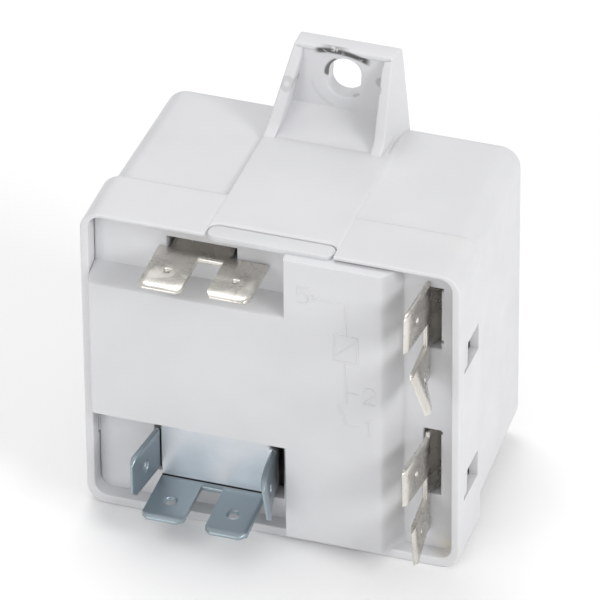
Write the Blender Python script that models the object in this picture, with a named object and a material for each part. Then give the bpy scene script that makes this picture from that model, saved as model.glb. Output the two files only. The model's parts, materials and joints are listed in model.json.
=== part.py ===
"""Potential relay in a moulded box: screw ear at the back, push-on tabs at the front.

Frame: metres, +Z up, the terminals face -Y, +X to the right as seen from the front.
The origin is at the middle of the footprint, at the height of the collar's lowest face.
"""

import math

import bmesh
import bpy
import numpy as np
from mathutils import Matrix, Vector

MM = 0.001

# Driving dimensions, in millimetres.
COLLAR_WIDTH = 56.4
COLLAR_HEIGHT = 50.8
COLLAR_DEPTH = 10.2
CASE_DEPTH = 35.2
TOTAL_DEPTH = 43.8  # from the tips of the bracket's tabs to the back of the case
TOTAL_HEIGHT = 63.5
MOUTH_Y = TOTAL_DEPTH / 2 - CASE_DEPTH
BACK_Y = TOTAL_DEPTH / 2
TIP_Y = -TOTAL_DEPTH / 2

CORNER_RADIUS = 3.0
RIM_WALL = 1.3
CASE_WALL = 2.0
SIDE_STEP = 0.9
TOP_STEP = 0.6
BOTTOM_STEP = 1.8
DRAFT = 0.7

BAND_HALF = 9.6
BAND_RISE = 0.6
NOTCH_DEPTH = 3.0

EAR_TOP_HALF = 7.5
EAR_THICK = 2.8
EAR_RIB = 1.6
EAR_REACH = 8.0
EAR_LEAN = 0.87
TOP_WALL = 0.5
SLOT_WIDTH = 4.9
SLOT_X = 0.8
SLOT_LOW = 55.3
SLOT_HIGH = 61.8

GAP = 0.3
FLOOR_Y = MOUTH_Y + 2.4
BASE_THICK = 3.0
PLATEAU_Y = MOUTH_Y - 1.5
PLATEAU_LOW = 17.0
PLATEAU_TOP = 40.2
COLUMN_LEFT = 2.6
COLUMN_RIGHT = 16.8

TAB_WIDTH = 6.35
TAB_THICK = 0.8
TAB_PITCH = 10.1
TAB_CHAMFER = 1.0
TAB_HOLE = 1.65

T5_X, T5_TOP = -8.9, 45.9
T5_TIP_Y = MOUTH_Y - 7.4
SIDE_BLADE_X = 22.4
SIDE_TIP_Y = MOUTH_Y - 7.5
T2_Z = 39.8
T1_Z = 13.2

T4_PLATE_Y = MOUTH_Y + 1.3
T4_LEFT, T4_RIGHT = -19.0, 0.45
T4_TAB_X = -8.8
T4_SHELF_Z = 6.3
T4_WING_LOW, T4_WING_HIGH = 7.6, 14.0

COIL_X, COIL_Y, COIL_Z = -10.6, 4.4, 25.0
COIL_LENGTH = 20.0
WINDING_RADIUS = 8.6
CORE_RADIUS = 3.0
YOKE_WIDTH = 16.0
YOKE_THICK = 1.8
SCREW_X = (-14.0, -5.0)
SCREW_Z = 8.4
HINGE_X, HINGE_Z = 2.8, 12.6
BLADE_X = 11.5
BLADE_TOP = 39.0
CONTACT_Z = 20.0
SPRING_Z = 8.4


def clear_scene():
    """Remove every object that the startup scene holds."""
    for obj in list(bpy.data.objects):
        bpy.data.objects.remove(obj, do_unlink=True)


def material(name, colour, roughness, metallic=0.0):
    """A Principled material of one colour."""
    mat = bpy.data.materials.new(name)
    mat.use_nodes = True
    shader = mat.node_tree.nodes["Principled BSDF"]
    shader.inputs["Base Color"].default_value = (*colour, 1.0)
    shader.inputs["Roughness"].default_value = roughness
    shader.inputs["Metallic"].default_value = metallic
    mat.diffuse_color = (*colour, 1.0)
    return mat


def mesh_object(name, mesh_builder, mat=None):
    """Make an object from a bmesh, facing out, and link it."""
    bmesh.ops.recalc_face_normals(mesh_builder, faces=mesh_builder.faces)
    mesh = bpy.data.meshes.new(name)
    mesh_builder.to_mesh(mesh)
    mesh_builder.free()
    obj = bpy.data.objects.new(name, mesh)
    bpy.context.scene.collection.objects.link(obj)
    if mat:
        mesh.materials.append(mat)
    return obj


def set_origin(obj, point):
    """Move an object's origin to a point in millimetres, and leave its shape where it is."""
    shift = Vector(point) * MM
    obj.data.transform(Matrix.Translation(-shift))
    obj.location = shift
    return obj


def loft(rings):
    """A bmesh skin over rings of equal point counts, closed by a face at each end."""
    builder = bmesh.new()
    loops = [[builder.verts.new(Vector(p) * MM) for p in ring] for ring in rings]
    count = len(loops[0])
    for first, second in zip(loops, loops[1:]):
        for i in range(count):
            j = (i + 1) % count
            builder.faces.new((first[i], first[j], second[j], second[i]))
    builder.faces.new(list(reversed(loops[0])))
    builder.faces.new(loops[-1])
    return builder


def prism(outline, axis, low, high):
    """Extrude a 2-D outline along one axis, between two places in millimetres."""

    def placed(point, along):
        a, b = point
        return {"x": (along, a, b), "y": (a, along, b), "z": (a, b, along)}[axis]

    return loft([[placed(p, low) for p in outline], [placed(p, high) for p in outline]])


def rectangle(a_low, a_high, b_low, b_high):
    """Corners of a rectangle."""
    return [(a_low, b_low), (a_high, b_low), (a_high, b_high), (a_low, b_high)]


def rounded(a_low, a_high, b_low, b_high, radius, steps=5):
    """A rectangle with round corners, going round from its lower right corner."""
    points = []
    corners = (
        (a_high - radius, b_low + radius, -90),
        (a_high - radius, b_high - radius, 0),
        (a_low + radius, b_high - radius, 90),
        (a_low + radius, b_low + radius, 180),
    )
    for a, b, start in corners:
        for i in range(steps + 1):
            angle = math.radians(start + 90 * i / steps)
            points.append((a + radius * math.cos(angle), b + radius * math.sin(angle)))
    return points


def circle(a, b, radius, steps=24):
    """Points round a circle."""
    turns = (2 * math.pi * i / steps for i in range(steps))
    return [(a + radius * math.cos(t), b + radius * math.sin(t)) for t in turns]


def box(name, x, y, z, mat=None):
    """A block between (low, high) pairs in millimetres."""
    return mesh_object(name, prism(rectangle(*x, *y), "z", *z), mat)


def rod(name, axis, centre, radius, low, high, mat=None, steps=24):
    """A round bar along an axis; centre holds its two other coordinates."""
    return mesh_object(name, prism(circle(*centre, radius, steps), axis, low, high), mat)


def combine(body, others, operation):
    """Join shapes to a body, or cut them from it, with the exact solver."""
    for other in others:
        other.hide_render = True
        other.display_type = "WIRE"
        boolean = body.modifiers.new(operation.lower() + "_" + other.name, "BOOLEAN")
        boolean.operation = operation
        boolean.solver = "EXACT"
        boolean.object = other
    return body


def join(body, *others):
    """Union of a body with other shapes."""
    return combine(body, others, "UNION")


def cut(body, *others):
    """Take other shapes away from a body."""
    return combine(body, others, "DIFFERENCE")


# --- moulded case -----------------------------------------------------------------------


def case_section(y, inset, top, bottom, radius):
    """One ring of the box: a rounded rectangle in the plane of one y."""
    half = COLLAR_WIDTH / 2 - inset
    flat = rounded(-half, half, bottom, COLLAR_HEIGHT - top, radius)
    return [(x, y, z) for x, z in flat]


def ear_outline(half_low, half_high, low, high):
    """Front view of the ear: a plate that narrows upwards, with two small top corners."""
    c = 1.0
    return [
        (-half_low, low), (half_low, low), (half_high, high - c), (half_high - c, high),
        (-half_high + c, high), (-half_high, high - c),
    ]


def make_case(mat):
    """The cover: a box with a collar round its mouth, a raised band on top and the screw ear."""
    step = MOUTH_Y + COLLAR_DEPTH
    r = CORNER_RADIUS
    case = mesh_object("case", loft([
        case_section(MOUTH_Y, 0.3, 0.3, 0.3, r - 0.3),
        case_section(MOUTH_Y + 0.4, 0.0, 0.0, 0.0, r),
        case_section(step, 0.0, 0.0, 0.0, r),
        case_section(step + 0.7, SIDE_STEP, TOP_STEP, BOTTOM_STEP, r),
        case_section(BACK_Y - 1.2, SIDE_STEP + DRAFT, TOP_STEP, BOTTOM_STEP + DRAFT, r),
        case_section(BACK_Y - 0.4, SIDE_STEP + DRAFT + 0.3, TOP_STEP + 0.3,
                     BOTTOM_STEP + DRAFT + 0.3, r),
        case_section(BACK_Y, SIDE_STEP + DRAFT + 0.9, TOP_STEP + 0.9,
                     BOTTOM_STEP + DRAFT + 0.9, r - 0.4),
    ]), mat)
    top = COLLAR_HEIGHT - TOP_STEP
    band = box("cut_band", (-BAND_HALF, BAND_HALF), (step - 1.5, BACK_Y - 1.5),
               (top - 1.0, top + BAND_RISE))
    plate = mesh_object("cut_ear", prism(
        ear_outline(BAND_HALF, EAR_TOP_HALF, top - 1.2, TOTAL_HEIGHT), "y",
        BACK_Y - EAR_THICK, BACK_Y))
    ribs = []
    for side in (-1, 1):
        rings = []
        for z, front, half in ((top - 1.2, BACK_Y - EAR_REACH, BAND_HALF + 0.05),
                               (TOTAL_HEIGHT - 0.5, BACK_Y - EAR_THICK - 0.3, EAR_TOP_HALF + 0.15)):
            outer, inner = side * half, side * (half - EAR_RIB)
            rings.append([(inner, front, z), (outer, front, z), (outer, BACK_Y - 0.6, z),
                          (inner, BACK_Y - 0.6, z)])
        ribs.append(mesh_object(f"cut_ear_rib{side}", loft(rings)))
    ramp = mesh_object("cut_ear_ramp", prism([
        (BACK_Y - EAR_THICK - 2.4, top), (BACK_Y - 1.0, top), (BACK_Y - 1.0, top + 3.0),
        (BACK_Y - EAR_THICK, top + 3.0)], "x", -BAND_HALF + 1, BAND_HALF - 1))
    join(case, band, plate, *ribs, ramp)
    for vert in case.data.vertices:
        over = vert.co.z / MM - COLLAR_HEIGHT
        if over > 0.01:
            vert.co.x += EAR_LEAN * MM * over / (TOTAL_HEIGHT - COLLAR_HEIGHT)

    half = COLLAR_WIDTH / 2
    mouth = mesh_object("cut_mouth", prism(
        rounded(-half + RIM_WALL, half - RIM_WALL, 1.6, COLLAR_HEIGHT - TOP_WALL, 2.0), "y",
        MOUTH_Y - 1, step - 0.6))
    hollow = mesh_object("cut_hollow", prism(
        rounded(-half + 3.0, half - 3.0, BOTTOM_STEP + CASE_WALL, top - CASE_WALL, 2.0), "y",
        step - 1, BACK_Y - CASE_WALL))
    notch = mesh_object("cut_notch", prism(
        rounded(-9.5, 9.5, MOUTH_Y - 4, MOUTH_Y + NOTCH_DEPTH, 1.4), "z",
        COLLAR_HEIGHT - 2.6, COLLAR_HEIGHT + 1))
    slot = mesh_object("cut_slot", prism(
        rounded(SLOT_X - SLOT_WIDTH / 2, SLOT_X + SLOT_WIDTH / 2, SLOT_LOW, SLOT_HIGH,
                SLOT_WIDTH / 2 - 0.01, 6),
        "y", BACK_Y - EAR_THICK - 2, BACK_Y + 2))
    windows = [
        box(f"cut_window{side}{i}", sorted((side * (half - 3.5), side * (half + 1))),
            (MOUTH_Y + 2.0, MOUTH_Y + 8.7), (low, low + 4.4))
        for side in (-1, 1) for i, low in enumerate((11.0, 33.2))
    ]
    return cut(case, mouth, hollow, notch, slot, *windows)


# --- moulded terminal base --------------------------------------------------------------


def make_base(mat):
    """The front plate that closes the mouth: plateau, column, slots, latches and posts."""
    half = COLLAR_WIDTH / 2 - RIM_WALL - GAP
    low, high = 1.6 + GAP, COLLAR_HEIGHT - TOP_WALL - GAP
    rear = FLOOR_Y + BASE_THICK
    base = mesh_object("terminal_base", prism(
        rounded(-half, half, low, high, 1.7), "y", FLOOR_Y, rear), mat)
    # The plateau's section: a front face with a sloping flank above and a square foot below.
    plateau = mesh_object("cut_plateau", prism([
        (PLATEAU_Y, PLATEAU_LOW), (FLOOR_Y + 0.5, PLATEAU_LOW), (FLOOR_Y + 0.5, PLATEAU_TOP + 1.3),
        (FLOOR_Y, PLATEAU_TOP + 1.2), (PLATEAU_Y + 0.6, PLATEAU_TOP + 0.1),
        (PLATEAU_Y, PLATEAU_TOP - 0.5)], "x", -half, COLUMN_LEFT + 3))
    column = mesh_object("cut_column", prism([
        (COLUMN_LEFT - 0.8, FLOOR_Y + 0.5), (COLUMN_LEFT - 0.8, FLOOR_Y), (COLUMN_LEFT, PLATEAU_Y),
        (COLUMN_RIGHT, PLATEAU_Y), (COLUMN_RIGHT + 2.0, FLOOR_Y), (COLUMN_RIGHT + 2.0, FLOOR_Y + 0.5),
    ], "z", low + 0.3, high - 0.05))
    # A tongue at the top fills the notch in the cover's rim.
    tongue = mesh_object("cut_tongue", prism(
        rounded(-9.2, 9.2, MOUTH_Y, MOUTH_Y + NOTCH_DEPTH - GAP, 1.2), "z",
        high - 0.9, COLLAR_HEIGHT - 0.3))
    posts = [box(f"cut_post{i}", (x - 2.6, x + 2.6),
                 (rear - 0.5, COIL_Y - YOKE_WIDTH / 2 - GAP), (5.4, 11.4))
             for i, x in enumerate(SCREW_X)]
    skirts, barbs = [], []
    for side in (-1, 1):
        for i, z in enumerate((11.4, 33.6)):
            skirts.append(box(f"cut_skirt{side}{i}", sorted((side * (half - 1.4), side * half)),
                              (rear - 0.5, MOUTH_Y + 8.4), (z, z + 3.6)))
            inner = side * (half - 0.5)
            barbs.append(mesh_object(f"cut_barb{side}{i}", prism([
                (inner, MOUTH_Y + 2.5), (side * (half + 1.2), MOUTH_Y + 2.5),
                (side * (half + 1.2), MOUTH_Y + 3.6), (inner, MOUTH_Y + 8.2)], "z", z, z + 3.6)))
    join(base, plateau, column, tongue, *posts, *skirts, *barbs)

    through = (PLATEAU_Y - 1, rear + 1)
    slots = [
        box("cut_slot5", (T5_X - 6.9, T5_X + 3.4 - 0.2), through, (T5_TOP - 1.3, T5_TOP + 1.7)),
        box("cut_slot2", (SIDE_BLADE_X - 0.3, 24.6), through, (T2_Z - 3.3, T2_Z + 7.1)),
        box("cut_slot1", (SIDE_BLADE_X - 0.3, 24.6), through, (T1_Z - 2.2, T1_Z + 9.1)),
        box("cut_slot4l", (T4_LEFT - 0.4, T4_LEFT + 1.1), through, (T4_WING_LOW - 1.5, 14.5)),
        box("cut_slot4r", (T4_RIGHT - 1.1, T4_RIGHT + 0.95), through, (T4_WING_LOW - 1.5, 14.5)),
    ]
    pilots = [rod(f"cut_pilot{i}", "y", (x, SCREW_Z), 1.5, rear - 1.5, rear + 6, steps=16)
              for i, x in enumerate(SCREW_X)]
    return cut(base, *slots, *pilots)


# --- terminals --------------------------------------------------------------------------


def tab_outline(centre, root, tip, direction=-1):
    """One push-on tab seen flat: straight sides, and corners cut at its tip."""
    half, c = TAB_WIDTH / 2, TAB_CHAMFER
    return [(centre - half, root), (centre - half, tip - direction * c),
            (centre - half + c * 0.8, tip), (centre + half - c * 0.8, tip),
            (centre + half, tip - direction * c), (centre + half, root)]


def pair_outline(centre, rear, root, tip):
    """Two tabs side by side joined by a bar: the stamped front end of a terminal."""
    left = tab_outline(centre - TAB_PITCH / 2, rear, tip)
    right = tab_outline(centre + TAB_PITCH / 2, rear, tip)
    inner_left, inner_right = left[-1][0], right[0][0]
    return left[:-1] + [(inner_left, root), (inner_right, root)] + right[1:]


def make_terminal_5(mat):
    """Coil terminal: two level tabs, and a stem that goes in through the upper slot."""
    z = (T5_TOP - TAB_THICK, T5_TOP)
    outline = pair_outline(T5_X, FLOOR_Y - GAP, FLOOR_Y - 1.7, T5_TIP_Y)
    body = mesh_object("terminal_5", prism(outline, "z", *z), mat)
    stem = box("cut_stem5", (T5_X - 6.4, T5_X + 2.6), (FLOOR_Y - 0.9, FLOOR_Y + 9.0), z)
    join(body, stem)
    holes = [rod(f"cut_hole5{i}", "z", (T5_X + s * TAB_PITCH / 2, T5_TIP_Y + 4.3), TAB_HOLE / 2,
                 z[0] - 1, z[1] + 1, steps=16) for i, s in enumerate((-1, 1))]
    return cut(body, *holes)


def twist_below(obj, pivot_z, reach, degrees, pivot_x, root_y):
    """Twist the lower tab of a blade about the Y direction, growing from root to tip."""
    for vert in obj.data.vertices:
        x, y, z = (c / MM for c in vert.co)
        if z >= pivot_z or y > root_y:
            continue
        share = min(1.0, (root_y - y) / reach)
        angle = math.radians(degrees) * share
        vert.co.x = (x + (pivot_z - z) * math.tan(angle)) * MM


def make_side_terminal(name, centre_z, stem_z, foot_x, foot_z, twist, mat):
    """A contact terminal: two upright tabs, a stem through the base, and a foot inside.

    The stem runs back along +Y, the arm crosses towards -X and the foot runs back again.
    """
    x = (SIDE_BLADE_X, SIDE_BLADE_X + TAB_THICK)
    flat = pair_outline(centre_z, FLOOR_Y - GAP, FLOOR_Y - 1.8, SIDE_TIP_Y)
    body = mesh_object(name, prism([(y, z) for z, y in flat], "x", *x), mat)
    if twist:
        twist_below(body, centre_z - 1.0, 6.0, twist, x[0], FLOOR_Y - 1.7)
    arm_y = FLOOR_Y + 8.4
    stem = box(f"cut_stem_{name}", x, (FLOOR_Y - 0.9, arm_y + TAB_THICK), stem_z)
    arm = box(f"cut_arm_{name}", (foot_x, x[1]), (arm_y, arm_y + TAB_THICK), stem_z)
    foot = box(f"cut_foot_{name}", (foot_x, foot_x + TAB_THICK), (arm_y, arm_y + 11.4), foot_z)
    join(body, stem, arm, foot)
    holes = [rod(f"cut_hole_{name}{i}", "x", (SIDE_TIP_Y + 4.3, centre_z + s * TAB_PITCH / 2),
                 TAB_HOLE / 2, x[0] - 3, x[1] + 3, steps=16) for i, s in enumerate((-1, 1))]
    return cut(body, *holes)


def make_terminal_4(mat):
    """The four-way bracket: a plate, an upright tab each side and two level tabs below."""
    t = TAB_THICK
    rear_y = T4_PLATE_Y + t
    plate = box("terminal_4", (T4_LEFT, T4_RIGHT), (T4_PLATE_Y, rear_y), (T4_SHELF_Z - t, 16.6), mat)
    wings = []
    for side, x in (("left", (T4_LEFT, T4_LEFT + t)), ("right", (T4_RIGHT - t, T4_RIGHT))):
        c = TAB_CHAMFER
        low, high, tip = T4_WING_LOW, T4_WING_HIGH, MOUTH_Y - 7.4
        outline = [(FLOOR_Y + 5.6, low + 1.4), (T4_PLATE_Y + t, low), (tip + c, low),
                   (tip, low + 0.8 * c), (tip, high - 0.8 * c), (tip + c, high),
                   (T4_PLATE_Y + t, high), (FLOOR_Y + 5.6, high - 1.4)]
        wing = mesh_object(f"cut_wing_{side}", prism(outline, "x", *x))
        if side == "right":
            twist_below(wing, high + 0.1, 7.0, 13.0, x[0], T4_PLATE_Y - 0.1)
        wings.append(wing)
    shelf = mesh_object("cut_shelf", prism(
        pair_outline(T4_TAB_X, rear_y, T4_PLATE_Y - 1.1, TIP_Y), "z", T4_SHELF_Z - t, T4_SHELF_Z))
    join(plate, *wings, shelf)
    drills = [rod(f"cut_drill4{i}", "z", (T4_TAB_X + s * TAB_PITCH / 2, TIP_Y + 4.3),
                  TAB_HOLE / 2, 4.0, 7.5, steps=16) for i, s in enumerate((-1, 1))]
    across = [rod("cut_drill4l", "x", (MOUTH_Y - 3.6, 10.8), TAB_HOLE / 2, -22, -17, steps=16),
              rod("cut_drill4r", "x", (MOUTH_Y - 3.6, 10.8), TAB_HOLE / 2, -2, 3, steps=16)]
    return cut(plate, *drills, *across)


# --- coil and magnet --------------------------------------------------------------------


def ring_solid(name, low, high, inner, outer, mat, steps=32):
    """A tube along X round the coil's axis."""
    body = rod(name, "x", (COIL_Y, COIL_Z), outer, low, high, mat, steps)
    return cut(body, rod(f"cut_bore_{name}", "x", (COIL_Y, COIL_Z), inner, low - 1, high + 1,
                         None, 32))


def make_bobbin(mat):
    """Two square flanges on a tube, with a lug for the coil's lead wires."""
    low, high = COIL_X - COIL_LENGTH / 2, COIL_X + COIL_LENGTH / 2
    body = rod("bobbin", "x", (COIL_Y, COIL_Z), CORE_RADIUS + 1.3, low, high, mat)
    flanges = []
    for i, x in enumerate((low, high - 1.2)):
        outline = rounded(COIL_Y - 9.6, COIL_Y + 9.6, COIL_Z - 9.6, COIL_Z + 9.6, 2.0)
        flanges.append(mesh_object(f"cut_flange{i}", prism(outline, "x", x, x + 1.2)))
    lug = box("cut_lug", (high - 6.0, high - 0.6), (COIL_Y - 9.6, COIL_Y - 6.2),
              (COIL_Z + 8.9, COIL_Z + 10.8))
    join(body, *flanges, lug)
    return cut(body, rod("cut_core_way", "x", (COIL_Y, COIL_Z), CORE_RADIUS + GAP,
                         low - 1, high + 1))


def make_core(mat):
    """The iron core: a rod with a broad pole face at the armature's end."""
    low = COIL_X - COIL_LENGTH / 2 - 3.4
    high = COIL_X + COIL_LENGTH / 2
    body = rod("core", "x", (COIL_Y, COIL_Z), CORE_RADIUS, low, high + 0.4, mat)
    face = rod("cut_pole", "x", (COIL_Y, COIL_Z), 4.6, high + GAP, high + 1.35)
    return join(body, face)


def make_yoke(mat):
    """The L-shaped iron frame: an upright behind the coil, a foot under it and a screw flange."""
    low_x = COIL_X - COIL_LENGTH / 2 - GAP - YOKE_THICK
    y = (COIL_Y - YOKE_WIDTH / 2, COIL_Y + YOKE_WIDTH / 2)
    body = box("yoke", (low_x, low_x + YOKE_THICK), y, (HINGE_Z - 0.9, 35.0), mat)
    foot = box("cut_yoke_foot", (low_x, HINGE_X - 1.4), y, (HINGE_Z - 0.9, HINGE_Z + 0.9))
    flange = box("cut_yoke_flange", (-21.6, -2.4), (y[0], y[0] + 1.6), (5.6, HINGE_Z))
    lug = box("cut_spring_lug", (-10.6, -9.4), (COIL_Y - 2, COIL_Y + 2), (7.2, HINGE_Z))
    join(body, foot, flange, lug)
    holes = [rod(f"cut_yoke_hole{i}", "y", (x, SCREW_Z), 1.8, y[0] - 2, y[0] + 3, steps=16)
             for i, x in enumerate(SCREW_X)]
    way = rod("cut_core_seat", "x", (COIL_Y, COIL_Z), CORE_RADIUS + GAP, low_x - 1, low_x + 3)
    eye = rod("cut_spring_eye", "x", (COIL_Y, SPRING_Z), 0.7, -12, -8, steps=12)
    return cut(body, way, eye, *holes)


def make_armature(mat):
    """The iron flap that the coil pulls, with a tail below its hinge for the spring."""
    y = (COIL_Y - 7.2, COIL_Y + 7.2)
    x = (HINGE_X - 0.5, HINGE_X + 1.1)
    body = box("armature", x, y, (HINGE_Z - 0.9, 33.6), mat)
    tail = box("cut_tail", x, (COIL_Y - 2.2, COIL_Y + 2.2), (7.2, HINGE_Z))
    join(body, tail)
    eye = rod("cut_tail_eye", "x", (COIL_Y, SPRING_Z), 0.9, x[0] - 1, x[1] + 1, steps=12)
    return set_origin(cut(body, eye), (HINGE_X, COIL_Y, HINGE_Z))


def helix(name, start, end, centre, radius, wire, turns, mat):
    """A coil of round wire along X, with straight ends on its axis."""
    steps = int(turns * 12)
    points = []
    for i in range(steps + 1):
        t = i / steps
        swell = min(1.0, 6 * t, 6 * (1 - t))
        angle = 2 * math.pi * turns * t
        points.append((start + 1.5 + (end - start - 3.0) * t,
                       centre[0] + radius * swell * math.sin(angle),
                       centre[1] + radius * swell * math.cos(angle)))
    points = [(start, *centre)] + points + [(end, *centre)]
    return wire_object(name, points, wire, mat)


def wire_object(name, points, radius, mat, resolution=1):
    """A round wire through points, with its ends closed."""
    curve = bpy.data.curves.new(name, "CURVE")
    curve.dimensions = "3D"
    curve.bevel_depth = radius * MM
    curve.bevel_resolution = resolution
    curve.use_fill_caps = True
    spline = curve.splines.new("POLY")
    spline.points.add(len(points) - 1)
    flat = np.ones((len(points), 4))
    flat[:, :3] = np.array(points) * MM
    spline.points.foreach_set("co", flat.ravel())
    obj = bpy.data.objects.new(name, curve)
    bpy.context.scene.collection.objects.link(obj)
    curve.materials.append(mat)
    return obj


def smooth_path(points, per_leg=5):
    """Points on a Catmull-Rom curve through the given ones."""
    p = [np.array(points[0])] + [np.array(q) for q in points] + [np.array(points[-1])]
    out = []
    for a, b, c, d in zip(p, p[1:], p[2:], p[3:]):
        for i in range(per_leg):
            t = i / per_leg
            out.append(tuple(0.5 * (2 * b + (c - a) * t + (2 * a - 5 * b + 4 * c - d) * t**2
                                    + (3 * b - a - 3 * c + d) * t**3)))
    return out + [tuple(p[-1])]


def make_screw(name, x, mat):
    """A pan-head screw along Y that holds the yoke's flange to a post of the base."""
    head_y = COIL_Y - YOKE_WIDTH / 2 + 1.6 + GAP
    body = rod(name, "y", (x, SCREW_Z), 1.2, FLOOR_Y + BASE_THICK - 1.0, head_y + 0.4, mat, 16)
    head = rod(f"cut_head_{name}", "y", (x, SCREW_Z), 2.6, head_y, head_y + 1.7)
    join(body, head)
    return cut(body, box(f"cut_drive_{name}", (x - 2.7, x + 2.7), (head_y + 1.0, head_y + 2),
                         (SCREW_Z - 0.3, SCREW_Z + 0.3)))


def make_keeper(mat):
    """A bent steel clip over the hinge end of the yoke that keeps the armature in place."""
    top = HINGE_Z - 0.9 - GAP
    x = (-1.6, HINGE_X - 1.2)
    body = box("hinge_keeper", x, (COIL_Y - 6.6, COIL_Y + 6.6), (top - 0.8, top), mat)
    ears = [box(f"cut_keeper_ear{i}", (x[0], HINGE_X + 0.8),
                sorted((COIL_Y + s * 7.6, COIL_Y + s * 8.3)), (top - 0.8, HINGE_Z - 1.3))
            for i, s in enumerate((-1, 1))]
    bridges = [box(f"cut_keeper_bridge{i}", x, sorted((COIL_Y + s * 6.4, COIL_Y + s * 8.3)),
                   (top - 0.8, top)) for i, s in enumerate((-1, 1))]
    return join(body, *bridges, *ears)


# --- contacts ---------------------------------------------------------------------------


def make_card(mat):
    """The card that the armature pulls: a strip with a window for the contact blade."""
    x = (HINGE_X + 1.1 + GAP, BLADE_X + 3.0)
    z = (28.2, 29.4)
    y = (COIL_Y - 4.6, COIL_Y + 4.6)
    body = box("lifter_card", x, y, z, mat)
    mount = box("cut_card_mount", (x[0], x[0] + 1.0), y, (z[0] - 4.6, z[1]))
    join(body, mount)
    window = box("cut_card_window", (BLADE_X - 0.5, BLADE_X + 1.0),
                 (COIL_Y - 3.5, COIL_Y + 3.5), (z[0] - 1, z[1] + 1))
    way = [rod(f"cut_card_hole{i}", "x", (COIL_Y + s * 2.8, 26.0), 1.1, x[0] - 1, x[0] + 3,
               steps=12) for i, s in enumerate((-1, 1))]
    return set_origin(cut(body, window, *way), (HINGE_X, COIL_Y, HINGE_Z))


def make_blade(mat):
    """The spring blade that carries the moving contact, hung from terminal 2's foot."""
    body = box("contact_blade", (BLADE_X, BLADE_X + 0.4), (COIL_Y - 2.9, COIL_Y + 2.9),
               (CONTACT_Z - 2.6, BLADE_TOP + 0.3), mat)
    return set_origin(body, (BLADE_X + 0.2, COIL_Y, BLADE_TOP))


def make_blade_clamp(mat):
    """The strip that the rivets press on the blade's root; it stays with terminal 2's foot."""
    return box("blade_clamp", (BLADE_X - 0.4, BLADE_X + 0.4), (COIL_Y - 2.9, COIL_Y + 2.9),
               (BLADE_TOP + 0.6, BLADE_TOP + 4.6), mat)


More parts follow.
